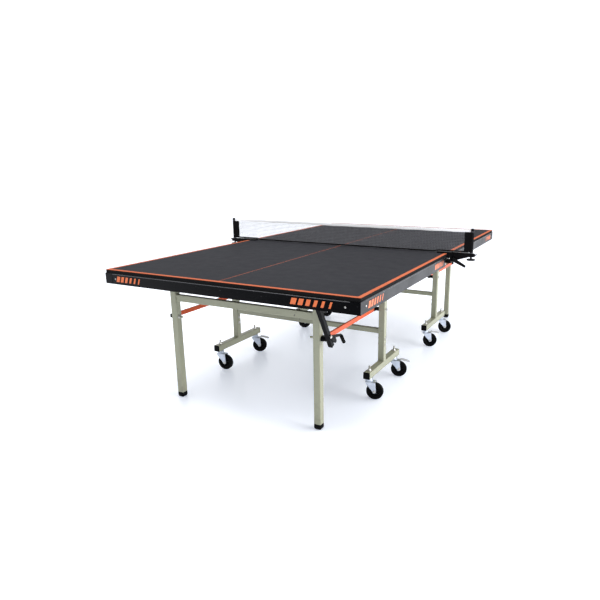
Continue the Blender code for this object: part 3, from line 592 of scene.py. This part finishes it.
def link_caps(half, matrix):
    """Moulded black caps over both ends of the links."""
    caps = group(f"{half}_links", "nylon", "caps")
    for flip in both_sides(matrix):
        for y, way in ((POST_Y, -1), (LEG_Y, 1)):
            r = LINK_CAP_RADIUS
            outline = [(y - way * r * math.cos(a), LINK_Z + r * math.sin(a))
                       for a in (math.radians(-90 + 15 * k) for k in range(13))]
            outline += [(y + way * reach, LINK_Z + level) for reach, level in (
                (0.0150, r), (LINK_CAP_REACH, 0.0128), (LINK_CAP_REACH, -0.0128), (0.0150, -r))]
            caps.prism(outline, LINK_INNER, LINK_OUTER, flip @ ALONG["x"])


def bead(shape, plane, low, high, matrix, radius=0.0019):
    """A rippled weld bead round a rectangle that lies across an axis."""
    axis, at = plane
    outline = rounded(low, high, 0.003, 4)
    path = []
    for (u0, v0), (u1, v1) in zip(outline, outline[1:] + outline[:1]):
        steps = max(1, round(math.dist((u0, v0), (u1, v1)) / 0.002))
        path += [(u0 + (u1 - u0) * k / steps, v0 + (v1 - v0) * k / steps) for k in range(steps)]
    radii = [radius * (1 + 0.22 * math.sin(i * 1.9)) for i in range(len(path))]
    shape.tube([(u, v, at) for u, v in path], radii, matrix @ ALONG[axis], 6, True)


def foot_caps(half, matrix):
    """Ribbed rubber caps under the end legs."""
    for sign in (1, -1):
        side = "right" if (sign > 0) == (half == "near") else "left"
        shape = Shape()
        levels = [(0.0, 0.0118), (0.0006, 0.0142), (0.0022, 0.0166), (0.0046, 0.0186),
                  (0.0078, 0.0198), (0.0100, 0.0203), (0.0112, 0.0197), (0.0120, 0.0197),
                  (0.0130, 0.0203), (0.0215, 0.0202), (0.0225, 0.0196), (0.0235, 0.0196),
                  (0.0245, 0.0202), (0.0285, 0.0201), (0.0298, 0.0193)]
        shape.loft([[(u, v, z) for u, v in rounded((-r, -r), (r, r), 0.006, 5)]
                    for z, r in levels], matrix @ Matrix.Translation((sign * LEG_X, LEG_Y, 0)))
        piece(f"{half}_foot_cap_{side}", shape, "rubber", f"{half}_legs", 0,
              (f"{half}_foot_{side}",))


def carriage_details(half, matrix):
    """Castor stems and nuts, through bolts, tube ends, welds and pivot bolts of the carriage."""
    body = f"{half}_carriage"
    steel, caps = group(body, "bolt", "bolts"), group(body, "nylon", "caps")
    dark, welds = group(body, "black_bolt", "bolts"), group(body, "weld", "beads")
    zinc = group(body, "zinc", "plates")
    for flip in both_sides(matrix):
        for y in STEM_YS:
            place = flip @ Matrix.Translation((POST_X, y, 0))
            threaded(steel, place, 0.0054, 0.1795, 0.1985)
            hexagon(steel, (POST_X, y, BASE_TOP), (0, 0, 1), 0.0106, 0.0092, flip, 0.0135)
            zinc.lathe([(0.006, 0.1299), (0.0150, 0.1299), (0.0150, 0.1285), (0.006, 0.1285)],
                       place, 24, True)
        for z in THROUGH_BOLT_ZS:
            for face in (1, -1):
                hexagon(steel, (POST_X + face * POST_HALF, POST_Y, z), (face, 0, 0), 0.0082, 0.0056,
                        flip, 0.0098)
        hexagon(steel, (POST_X + POST_HALF, POST_Y, LINK_Z), (1, 0, 0), 0.0092, 0.0062, flip,
                0.0110, 0.004)
        hexagon(dark, (0.4733, POST_Y, LINK_Z), (-1, 0, 0), 0.0096, 0.0058, flip, 0.0115)
        dark.lathe([(0.0101, 0.4857), (0.0112, 0.4863), (0.0112, 0.5130), (0.0101, 0.5136)],
                   flip @ Matrix.Translation((0, POST_Y, LINK_Z)) @ ALONG["x"], 24, True)
        hexagon(dark, (RAIL_PIVOT_FACE, CARRIAGE_PIVOT_Y, PIVOT_Z), (-1, 0, 0), 0.0095, 0.0056,
                flip, 0.012)
        bead(welds, ("z", BASE_TOP), (POST_X - POST_HALF, POST_Y - POST_HALF),
             (POST_X + POST_HALF, POST_Y + POST_HALF), flip)
        bead(welds, ("x", POST_X - POST_HALF), (POST_Y - 0.0125, 0.338), (POST_Y + 0.0125, 0.368),
             flip)
        for end, y in ((-1, BASE_Y - BASE_HALF_LENGTH), (1, BASE_Y + BASE_HALF_LENGTH)):
            place = flip @ aim((POST_X, y, BASE_MIDDLE), (0, end, 0))
            levels = [(0.0180, -0.0010), (0.0202, -0.0005), (0.0202, 0.0020), (0.0180, 0.0034),
                      (0.012, 0.0036)]
            caps.loft([[(u, v, w) for u, v in rounded((-r, -r), (r, r), 0.0035, 4)]
                       for r, w in levels], place)
        tube_lid(caps, POST_X, POST_Y, flip)


# --- castors, drawn with the swivel on local z and the wheel trailing along +y ---

HEADINGS = {
    "near": {"right_outer": 80, "right_inner": 74, "left_outer": 82, "left_inner": 68},
    "far": {"right_outer": 66, "right_inner": 64, "left_outer": 47, "left_inner": 42},
}
TRAIL, WHEEL_R = 0.034, 0.050
# a fork's cheeks are round at the foot, and lean from there to the crown
FOOT_R, CHEEK_RISE, BACK_LEAN, FRONT_LEAN = 0.0102, 0.050, 0.0428, 0.0042
FORK_HALF, FORK_LOW, FORK_SHOULDER, FORK_BEND = 0.0185, 0.0400, 0.103, 0.006
STRIP_HALF = 0.0015
BALLS, BALL_RING, BALL_Z = 16, 0.0190, 0.1188
PEDAL_HINGE = (0, 0.0445, 0.113)


def fork_width(z):
    """How far the fork reaches back and forward at a height, as y."""
    if z < WHEEL_R:
        reach = math.sqrt(max(0.0, FOOT_R ** 2 - (WHEEL_R - z) ** 2))
        return TRAIL - reach, TRAIL + reach
    share = min(1.0, (z - WHEEL_R) / CHEEK_RISE)
    return TRAIL - FOOT_R - BACK_LEAN * share, TRAIL + FOOT_R - FRONT_LEAN * share


def fork_strip():
    """The pressed strip of a fork as rings, from one cheek's foot over the crown to the other's."""
    path = [(FORK_HALF, FORK_LOW + 0.0045 * i) for i in range(14)]
    path += [(FORK_HALF - FORK_BEND * (1 - math.cos(a)), FORK_SHOULDER + FORK_BEND * math.sin(a))
             for a in (math.radians(18 * k) for k in range(6))]
    path += [(-x, z) for x, z in reversed(path)]
    rings = []
    for i, (x, z) in enumerate(path):
        before, after = path[max(0, i - 1)], path[min(len(path) - 1, i + 1)]
        out = Vector((after[1] - before[1], before[0] - after[0])).normalized() * STRIP_HALF
        y0, y1 = fork_width(max(z, FORK_LOW + 0.0006))
        rings.append([(x + s * out.x, y, z + s * out.y)
                      for s, y in ((1, y0), (1, y1), (-1, y1), (-1, y0))])
    return rings


def castor(half, position, heading):
    """One castor: pressed fork, swivel bearing, tyre, ribbed hub and axle."""
    side, place = position.split("_")
    sign = 1 if side == "right" else -1
    y = STEM_YS[place == "outer"] * (1 if half == "near" else -1)
    turn = Matrix.Rotation(-math.radians(heading), 4, "Z")
    matrix = Matrix.Translation((sign * POST_X, y, 0)) @ turn
    label = f"{half}_{position}"
    fork = Shape()
    fork.loft(fork_strip(), matrix)
    race = [(0.0005, 0.1095), (0.0180, 0.1095), (0.0206, 0.1110), (0.0217, 0.1145),
            (0.0210, 0.1172), (0.0186, 0.1180), (0.0186, 0.1196), (0.0208, 0.1204),
            (0.0219, 0.1226), (0.0212, 0.1262), (0.0178, 0.1282), (0.0005, 0.1284)]
    fork.lathe(race, matrix, 32)
    for k in range(BALLS):
        a = 2 * math.pi * k / BALLS
        ball = (BALL_RING * math.cos(a), BALL_RING * math.sin(a), BALL_Z)
        fork.lathe([(0.0002, -0.0014), (0.0012, -0.0007), (0.0014, 0), (0.0012, 0.0007),
                    (0.0002, 0.0014)], matrix @ Matrix.Translation(ball), 8)
    piece(f"{label}_fork", fork, "zinc", f"{half}_castor_{position}", 0.0006,
          (f"{half}_castor_fork_{position}",))
    bolts = Shape()
    axle = matrix @ Matrix.Translation((0, TRAIL, WHEEL_R))
    hexagon(bolts, (0.0200, 0, 0), (1, 0, 0), 0.0068, 0.0048, axle, 0.0082)
    hexagon(bolts, (-0.0200, 0, 0), (-1, 0, 0), 0.0068, 0.0050, axle, 0.0082, 0.0016)
    bolts.lathe([(0.0038, -0.0199), (0.0038, 0.0199)], axle @ ALONG["x"], 16)
    piece(f"{label}_axle", bolts, "bolt", f"{half}_castor_{position}", 0.0003)
    wheel(label, half, position, axle @ ALONG["x"])
    if place == "inner":
        pedal(label, half, side, position, matrix)


def wheel(label, half, position, place):
    """A tyre with shoulder grooves on a ribbed nylon hub."""
    body = f"{half}_wheel_{position}"
    arc = [(0.0442 + 0.0056 * math.sin(a), 0.0082 + 0.0056 * math.cos(a))
           for a in (math.radians(15 * k) for k in range(7))]
    side = [(0.0338, 0.0128), (0.0352, 0.0138), (0.0375, 0.0139), (0.0380, 0.0133),
            (0.0388, 0.0133), (0.0394, 0.0139)] + arc
    side += [(0.0499, 0.0052), (0.0493, 0.0047), (0.0493, 0.0040), (0.0500, 0.0035)]
    profile = side + [(r, -h) for r, h in reversed(side)]
    tyre = Shape()
    tyre.lathe(profile, place, 56, True)
    piece(f"{label}_tyre", tyre, "tyre", body, 0, (f"{half}_castor_wheel_{position}",), 50)
    hub = Shape()
    side = [(0.0043, 0.0158), (0.0118, 0.0158), (0.0132, 0.0144), (0.0138, 0.0062),
            (0.0290, 0.0055), (0.0300, 0.0122), (0.0312, 0.0130), (0.0340, 0.0126)]
    hub.lathe(side + [(r, -h) for r, h in reversed(side)], place, 40, True)
    rib = [(0.0130, -0.0012), (0.0298, -0.0016), (0.0298, 0.0016), (0.0130, 0.0012)]
    for k in range(6):
        for low, high, stagger in ((0.005, 0.0112, 0.2), (-0.0112, -0.005, 0)):
            hub.prism(rib, low, high, place @ Matrix.Rotation(math.pi * k / 3 + stagger, 4, "Z"))
    piece(f"{label}_hub", hub, "hub", body, 0.0003)


def pedal(label, half, side, position, matrix):
    """A moulded brake pedal with grip ribs on its tread."""
    shape = Shape()
    stations = [(0.0445, 0.1130, 0.0120, 0.0042), (0.0510, 0.1130, 0.0130, 0.0038),
                (0.0590, 0.1122, 0.0142, 0.0034), (0.0730, 0.1100, 0.0152, 0.0030),
                (0.0870, 0.1064, 0.0156, 0.0028), (0.0960, 0.1036, 0.0146, 0.0026),
                (0.1010, 0.1020, 0.0118, 0.0022), (0.1024, 0.1015, 0.0080, 0.0012)]
    rings = []
    for y, z, width, thick in stations:
        rings.append([(x, y, z + h) for x, h in rounded((-width, -thick), (width, thick),
                                                       min(width, thick) * 0.7, 4)])
    shape.loft(rings, matrix)
    for k in range(6):
        y = 0.0670 + 0.0052 * k
        tread_z = 0.1128 - 0.26 * (y - 0.0650)
        shape.prism([(-0.0105, -0.0007), (0.0105, -0.0007), (0.0105, 0.0007), (-0.0105, 0.0007)],
                    -0.0016, 0.0022, matrix @ Matrix.Translation((0, y, tread_z)))
    shape.lathe([(0.0030, -0.0160), (0.0045, -0.0156), (0.0045, 0.0156), (0.0030, 0.0160)],
                matrix @ Matrix.Translation(PEDAL_HINGE) @ ALONG["x"], 20)
    piece(f"{label}_pedal", shape, "pedal", f"{half}_pedal_{side}", 0.0004,
          (f"{half}_brake_pedal_{position}",))


# --- lock ---

LEVER_END = (0.5425, -1.110, 0.495)
LEVER_PIVOT = (0.5447, -1.2192, 0.515)
GRIP_WAY = (0, 0.60, -0.80)
LOCK_SCREWS = [(0.5475, y, 0.7367) for y in (-1.332, -1.280, -1.228)]
LOCK_NUT = (0.5180, -1.1905, 0.4652)


def lock_details(half, matrix):
    """The ribbed grip, the lever's pivot nut, and the lock arm's screws and nut."""
    grip = Shape()
    profile = [(0.0046, 0.0075), (0.0082, 0.0078), (0.0090, 0.0092), (0.0090, 0.0120)]
    for k in range(9):
        start = 0.0140 + 0.0048 * k
        profile += [(0.0080, start), (0.0089, start + 0.0012), (0.0089, start + 0.0034),
                    (0.0080, start + 0.0046)]
    profile += [(0.0088, 0.0590), (0.0089, 0.0612), (0.0076, 0.0630), (0.0040, 0.0635)]
    grip.lathe(profile, matrix @ aim(LEVER_END, GRIP_WAY), 28)
    piece(f"{half}_lever_handle", grip, "rubber", f"{half}_lock", 0, (f"{half}_lever_grip",), 60)
    steel = group(f"{half}_lock", "bolt", "pivot")
    hexagon(steel, LEVER_PIVOT, (1, 0, 0), 0.0066, 0.0042, matrix, 0.0080)
    bolts = group(f"{half}_top", "bolt", "screws")
    for place in LOCK_SCREWS:
        screw(bolts, place, (0, 0, -1), matrix, 0.0045)
    hexagon(bolts, LOCK_NUT, (-1, 0, 0), 0.0062, 0.0042, matrix, 0.0076)


# --- net set ---

NET_Y = -0.014
NET_X = 0.895
NET_TOP = 0.9125
TAPE_BOTTOM = 0.8950
TAPE_OUTER, TAPE_INNER = 0.0019, 0.0009
POLE_X = 0.906
STRAND_RADIUS, MESH = 0.00065, 0.010
MESH_ROWS, MESH_COLUMNS = 13, 179
SEAM_Z, STITCH = 0.8985, 0.0041
SLEEVE_FOOT, SLEEVE_RADIUS = 0.7708, 0.0108
BAND_INNER, BAND_NECK = 0.8600, 0.8910
LOOP_ZS, LOOP_RADIUS = (0.7672, 0.8982), 0.0105
HEM_HEIGHT = 0.0085
CLAMP_PAD = (0.748, -0.026)
CLAMP_PIVOT, CLAMP_LEVER_END = Vector((0.803, 0.722)), Vector((0.872, 0.686))
CLAMP_LEVER_Y = -0.0352
ARM_FACES = (-0.0246, -0.0040)


def net_bottom(x):
    """The height of the net's bottom cord, lifted over the clamps."""
    share = min(1.0, max(0.0, (abs(x) - 0.668) / 0.027))
    return 0.7640 + 0.0070 * share


def tape_wave(x):
    """How far the tape sways out of the net's plane."""
    return 0.0004 * math.sin(x * 23) + 0.0003 * math.sin(x * 61)


def net_strands():
    """Knotted strands, upright and along the net."""
    strands = Shape()
    grid = []
    for x in (-0.890 + MESH * i for i in range(MESH_COLUMNS)):
        low, high = net_bottom(x), TAPE_BOTTOM + 0.002
        line = []
        for k in range(MESH_ROWS + 1):
            z = low + (high - low) * k / MESH_ROWS
            wave = 0.0006 * math.sin(x * 41 + k * 1.3) + 0.0004 * math.sin(x * 97 - k * 0.7)
            line.append(Vector((x + 0.0005 * math.sin(k * 2.1 + x * 60), NET_Y + wave, z)))
        grid.append(line)
    for line in grid:
        strands.tube(line, STRAND_RADIUS, sides=5)
    for k in range(1, MESH_ROWS):
        strands.tube([line[k] for line in grid], STRAND_RADIUS, sides=5)
    for line in grid:
        for knot in line[1:-1]:
            strands.lathe([(0.0002, -0.0011), (0.0011, 0), (0.0002, 0.0011)],
                          Matrix.Translation(knot), 5)
    return piece("net_strands", strands, "strand", "near_top", 0, ("net",))


def net_tape():
    """The white tape, folded over the net's top edge."""
    tape = Shape()
    rings = []
    for i in range(92):
        x = -NET_X + 2 * NET_X * i / 91
        wave = tape_wave(x)
        foot = TAPE_BOTTOM + 0.0008 * math.sin(x * 37)
        outer, inner = [], []
        for k in range(9):
            a = math.pi * k / 8
            for r, into in ((TAPE_OUTER, outer), (TAPE_INNER, inner)):
                into.append((x, NET_Y + wave - r * math.cos(a),
                             NET_TOP - TAPE_OUTER + r * math.sin(a)))
        spread = 0.0004 * math.sin(x * 29)
        ring = [(x, NET_Y + wave - 0.0017 - spread, foot)] + outer
        ring += [(x, NET_Y + wave + 0.0017 + spread, foot)]
        ring += [(x, NET_Y + wave + 0.0008 + spread, foot)] + inner[::-1]
        ring += [(x, NET_Y + wave - 0.0008 - spread, foot)]
        rings.append(ring)
    tape.loft(rings)
    return piece("net_top_tape", tape, "tape", "near_top")


def tape_stitching():
    """The seam along the tape's lower edge, one stitch after another on both faces."""
    stitches = Shape()
    for i in range(440):
        x = -NET_X + 0.006 + STITCH * i
        for face in (-1, 1):
            y = NET_Y + tape_wave(x) + face * 0.0022
            stitches.tube([(x, y - face * 0.0003, SEAM_Z), (x + 0.0008, y, SEAM_Z),
                           (x + 0.0020, y, SEAM_Z), (x + 0.0028, y - face * 0.0003, SEAM_Z)],
                          0.00032, sides=4)
    return piece("net_tape_stitching", stitches, "thread", "near_top")


def edge_cords():
    """The bottom cord, and the loops that tie the net to its poles."""
    cords = Shape()
    path = [(x, NET_Y, net_bottom(x) - 0.0002) for x in (-0.885 + 0.0177 * i for i in range(101))]
    cords.tube(path, 0.0015, sides=8)
    for sign in (1, -1):
        for z in LOOP_ZS:
            loop = [(sign * (NET_X - 0.0010), NET_Y - 0.0040, z)]
            loop += [(sign * (POLE_X - LOOP_RADIUS * math.cos(a)),
                      NET_Y - LOOP_RADIUS * math.sin(a), z + 0.001)
                     for a in (math.radians(50 + 26 * k) for k in range(11))]
            loop += [(sign * (NET_X - 0.0010), NET_Y + 0.0040, z)]
            cords.tube(loop, 0.0013, sides=6)
    return piece("net_edge_cords", cords, "strand", "near_top")


def bottom_tape():
    """The black hem over the bottom cord."""
    hem = Shape()
    rings = []
    for i in range(121):
        x = -NET_X + 2 * NET_X * i / 120
        low = net_bottom(x) - 0.0010
        sway = 0.0004 * math.sin(x * 31)
        rings.append([(x, NET_Y + y + sway, low + z) for y, z in
                      rounded((-0.0019, 0.0), (0.0019, HEM_HEIGHT), 0.0017, 3)])
    hem.loft(rings)
    return piece("net_bottom_tape", hem, "band", "near_top")


def end_bands():
    """The sewn bands at the net's ends, each with a sleeve round its pole."""
    bands = Shape()
    for sign in (1, -1):
        rings = []
        for k in range(15):
            z = SLEEVE_FOOT + (TAPE_BOTTOM - SLEEVE_FOOT + 0.001) * k / 14
            bulge = 0.0004 * math.sin(k * 1.1)
            inner = BAND_INNER + 0.0006 * math.sin(k * 0.9)
            ring = [(inner, 0.0012), (inner, -0.0012), (inner + 0.0012, -0.0024),
                    (BAND_NECK, -0.0026)]
            ring += [(POLE_X + SLEEVE_RADIUS * math.cos(a), SLEEVE_RADIUS * math.sin(a))
                     for a in (math.radians(15 * j - 150) for j in range(21))]
            ring += [(BAND_NECK, 0.0026), (inner + 0.0012, 0.0024)]
            rings.append([(sign * x, NET_Y + y + bulge, z) for x, y in ring])
        bands.loft(rings)
    return piece("net_end_bands", bands, "band", "near_top")


def net_pieces():
    """The net's strands, its top tape with stitching, its edge cords, bottom hem and end bands."""
    net = net_strands()
    top_tape = net_tape()
    seam = tape_stitching()
    cord = edge_cords()
    hem = bottom_tape()
    band = end_bands()


def clamp_lever(side, flip):
    """The handle of a net clamp, flattened and tapered, with a boss at its pivot."""
    lever = Shape()
    along = (CLAMP_LEVER_END - CLAMP_PIVOT).normalized()
    across = Vector((-along.y, along.x))
    rings = []
    for share, wide, thick in ((-0.145, 0.0048, 0.0060), (-0.11, 0.0088, 0.0092),
                               (0.00, 0.0121, 0.0102), (0.20, 0.0120, 0.0102),
                               (0.55, 0.0104, 0.0092), (0.90, 0.0090, 0.0084),
                               (1.06, 0.0082, 0.0080), (1.105, 0.0064, 0.0060)):
        centre = CLAMP_PIVOT + (CLAMP_LEVER_END - CLAMP_PIVOT) * share
        rings.append([(centre.x + across.x * wide * math.cos(a),
                       CLAMP_LEVER_Y + thick * math.sin(a),
                       centre.y + across.y * wide * math.cos(a))
                      for a in (2 * math.pi * k / 16 for k in range(16))])
    lever.loft(rings, flip)
    lever.lathe([(0.0106, -0.0458), (0.0121, -0.0446), (0.0121, -0.0258), (0.0106, -0.0246)],
                flip @ Matrix.Translation((CLAMP_PIVOT.x, 0, CLAMP_PIVOT.y)) @ ALONG["y"], 24)
    piece(f"net_lever_handle_{side}", lever, "nylon", f"net_lever_{side}", 0,
          (f"net_clamp_lever_{side}",))


def net_fittings():
    """Pole caps, clamp screws, clamp levers and height knobs at the two ends of the net."""
    for side, flip in zip(("right", "left"), both_sides(IDENTITY)):
        pole = flip @ Matrix.Translation((POLE_X, NET_Y, 0))
        pad = flip @ Matrix.Translation((*CLAMP_PAD, 0))
        steel, caps = group("near_top", "bolt", "net_bolts"), group("near_top", "nylon", "net_caps")
        copper = group("near_top", "copper", "clamp_screws")
        caps.lathe([(0.0092, 0.9020), (0.0101, 0.9030), (0.0101, 0.9140), (0.0088, 0.9168),
                    (0.0040, 0.9175)], pole, 28)
        for x in (0.764, 0.778):
            screw(steel, (x, -0.0460, 0.7300), (0, -1, 0), flip, 0.0038, 0.0018)
        threaded(copper, pad, 0.0052, 0.6900, 0.7055)
        hexagon(copper, (*CLAMP_PAD, 0.7000), (0, 0, -1), 0.0085, 0.0055, flip)
        caps.lathe([(0.0102, 0.7330), (0.0114, 0.7335), (0.0114, 0.7405), (0.0104, 0.7415)],
                   pad, 24)
        # raised rims along the arm
        for y in ARM_FACES:
            caps.tube([(0.792, y, 0.7085), (0.830, y, 0.7235), (0.891, y, 0.7430)], 0.0016, flip, 8)
            caps.tube([(0.792, y, 0.7660), (0.850, y, 0.7652), (0.900, y, 0.7640)], 0.0016, flip, 8)
        clamp_lever(side, flip)
        knob = Shape()
        knob.lathe([(0.0210, 0.7211), (0.0246, 0.7215), (0.0258, 0.7230), (0.0258, 0.7282),
                    (0.0246, 0.7300), (0.0130, 0.7308), (0.0060, 0.7318), (0.0060, 0.7405),
                    (0.0050, 0.7409)], pole, 120, lobes=30, depth=0.045)
        piece(f"net_knob_grip_{side}", knob, "nylon", f"net_knob_body_{side}", 0,
              (f"net_knob_{side}",))


# --- stage ---

FLOOR_REACH = 40
# the room is brightest towards this bearing, in degrees from +y
BRIGHT_BEARING = -60
ROOM_STRENGTH = (0.45, 1.30)
# each soft light as its name, place, target, size and power in watts
LIGHTS = (("key", (4.5, 2.5, 3.5), (0, -0.2, 0.5), (3.5, 3.0), 150),
          ("side", (4.5, -0.4, 1.7), (0, -0.6, 0.4), (2.4, 1.8), 150),
          ("top", (-0.2, -0.7, 4.8), (0, 0, 0), (4.5, 4.5), 340))


def make_floor():
    """A pale floor without joints."""
    floor = Shape()
    floor.bm.faces.new([floor.bm.verts.new((x * FLOOR_REACH, y * FLOOR_REACH, 0)) for x, y in
                        ((-1, -1), (1, -1), (1, 1), (-1, 1))])
    mesh = floor.mesh("floor")
    look = Look("floor", {"Specular IOR Level": 0.45, "Roughness": 0.30,
                          "Base Color": (0.80, 0.825, 0.88, 1.0),
                          "Emission Color": (0.80, 0.87, 1.0, 1.0), "Emission Strength": 0.32})
    mesh.materials.append(look.material)
    made = bpy.data.objects.new("floor", mesh)
    bpy.context.scene.collection.objects.link(made)


def make_room():
    """A soft bright room, dimmer on one side."""
    world = bpy.data.worlds.new("studio")
    bpy.context.scene.world = world
    world.use_nodes = True
    tree = world.node_tree
    background = tree.nodes["Background"]
    where = tree.nodes.new("ShaderNodeTexCoord")
    dot = tree.nodes.new("ShaderNodeVectorMath")
    dot.operation = "DOT_PRODUCT"
    turn = math.radians(BRIGHT_BEARING)
    dot.inputs[1].default_value = (math.sin(turn), math.cos(turn), 0.10)
    tree.links.new(where.outputs["Generated"], dot.inputs[0])
    span = tree.nodes.new("ShaderNodeMapRange")
    for socket, value in enumerate((-0.6, 1.0, *ROOM_STRENGTH), 1):
        span.inputs[socket].default_value = value
    tree.links.new(dot.outputs["Value"], span.inputs[0])
    tree.links.new(span.outputs[0], background.inputs["Strength"])
    background.inputs["Color"].default_value = (1.0, 1.0, 1.0, 1.0)


def make_lights():
    """Large soft lights above and beside the table."""
    for name, place, target, size, energy in LIGHTS:
        data = bpy.data.lights.new(name, "AREA")
        data.shape = "RECTANGLE"
        data.size, data.size_y = size
        data.energy = energy
        light = bpy.data.objects.new(name, data)
        light.matrix_world = aim(place, Vector(place) - Vector(target))
        bpy.context.scene.collection.objects.link(light)


bpy.context.scene.view_settings.view_transform = "Standard"
make_camera()
looks = make_looks()
dress_frame()
for half, matrix in HALVES.items():
    top_details(half, matrix)
    leg_details(half, matrix)
    foot_caps(half, matrix)
    link_caps(half, matrix)
    carriage_details(half, matrix)
    lock_details(half, matrix)
    for position, heading in HEADINGS[half].items():
        castor(half, position, heading)
net_pieces()
net_fittings()
for (body, finish, detail), shape in groups.items():
    piece(f"{body}_{finish}_{detail}", shape, finish, body, 0.0003)
make_floor()
make_room()
make_lights()
bpy.context.view_layer.update()
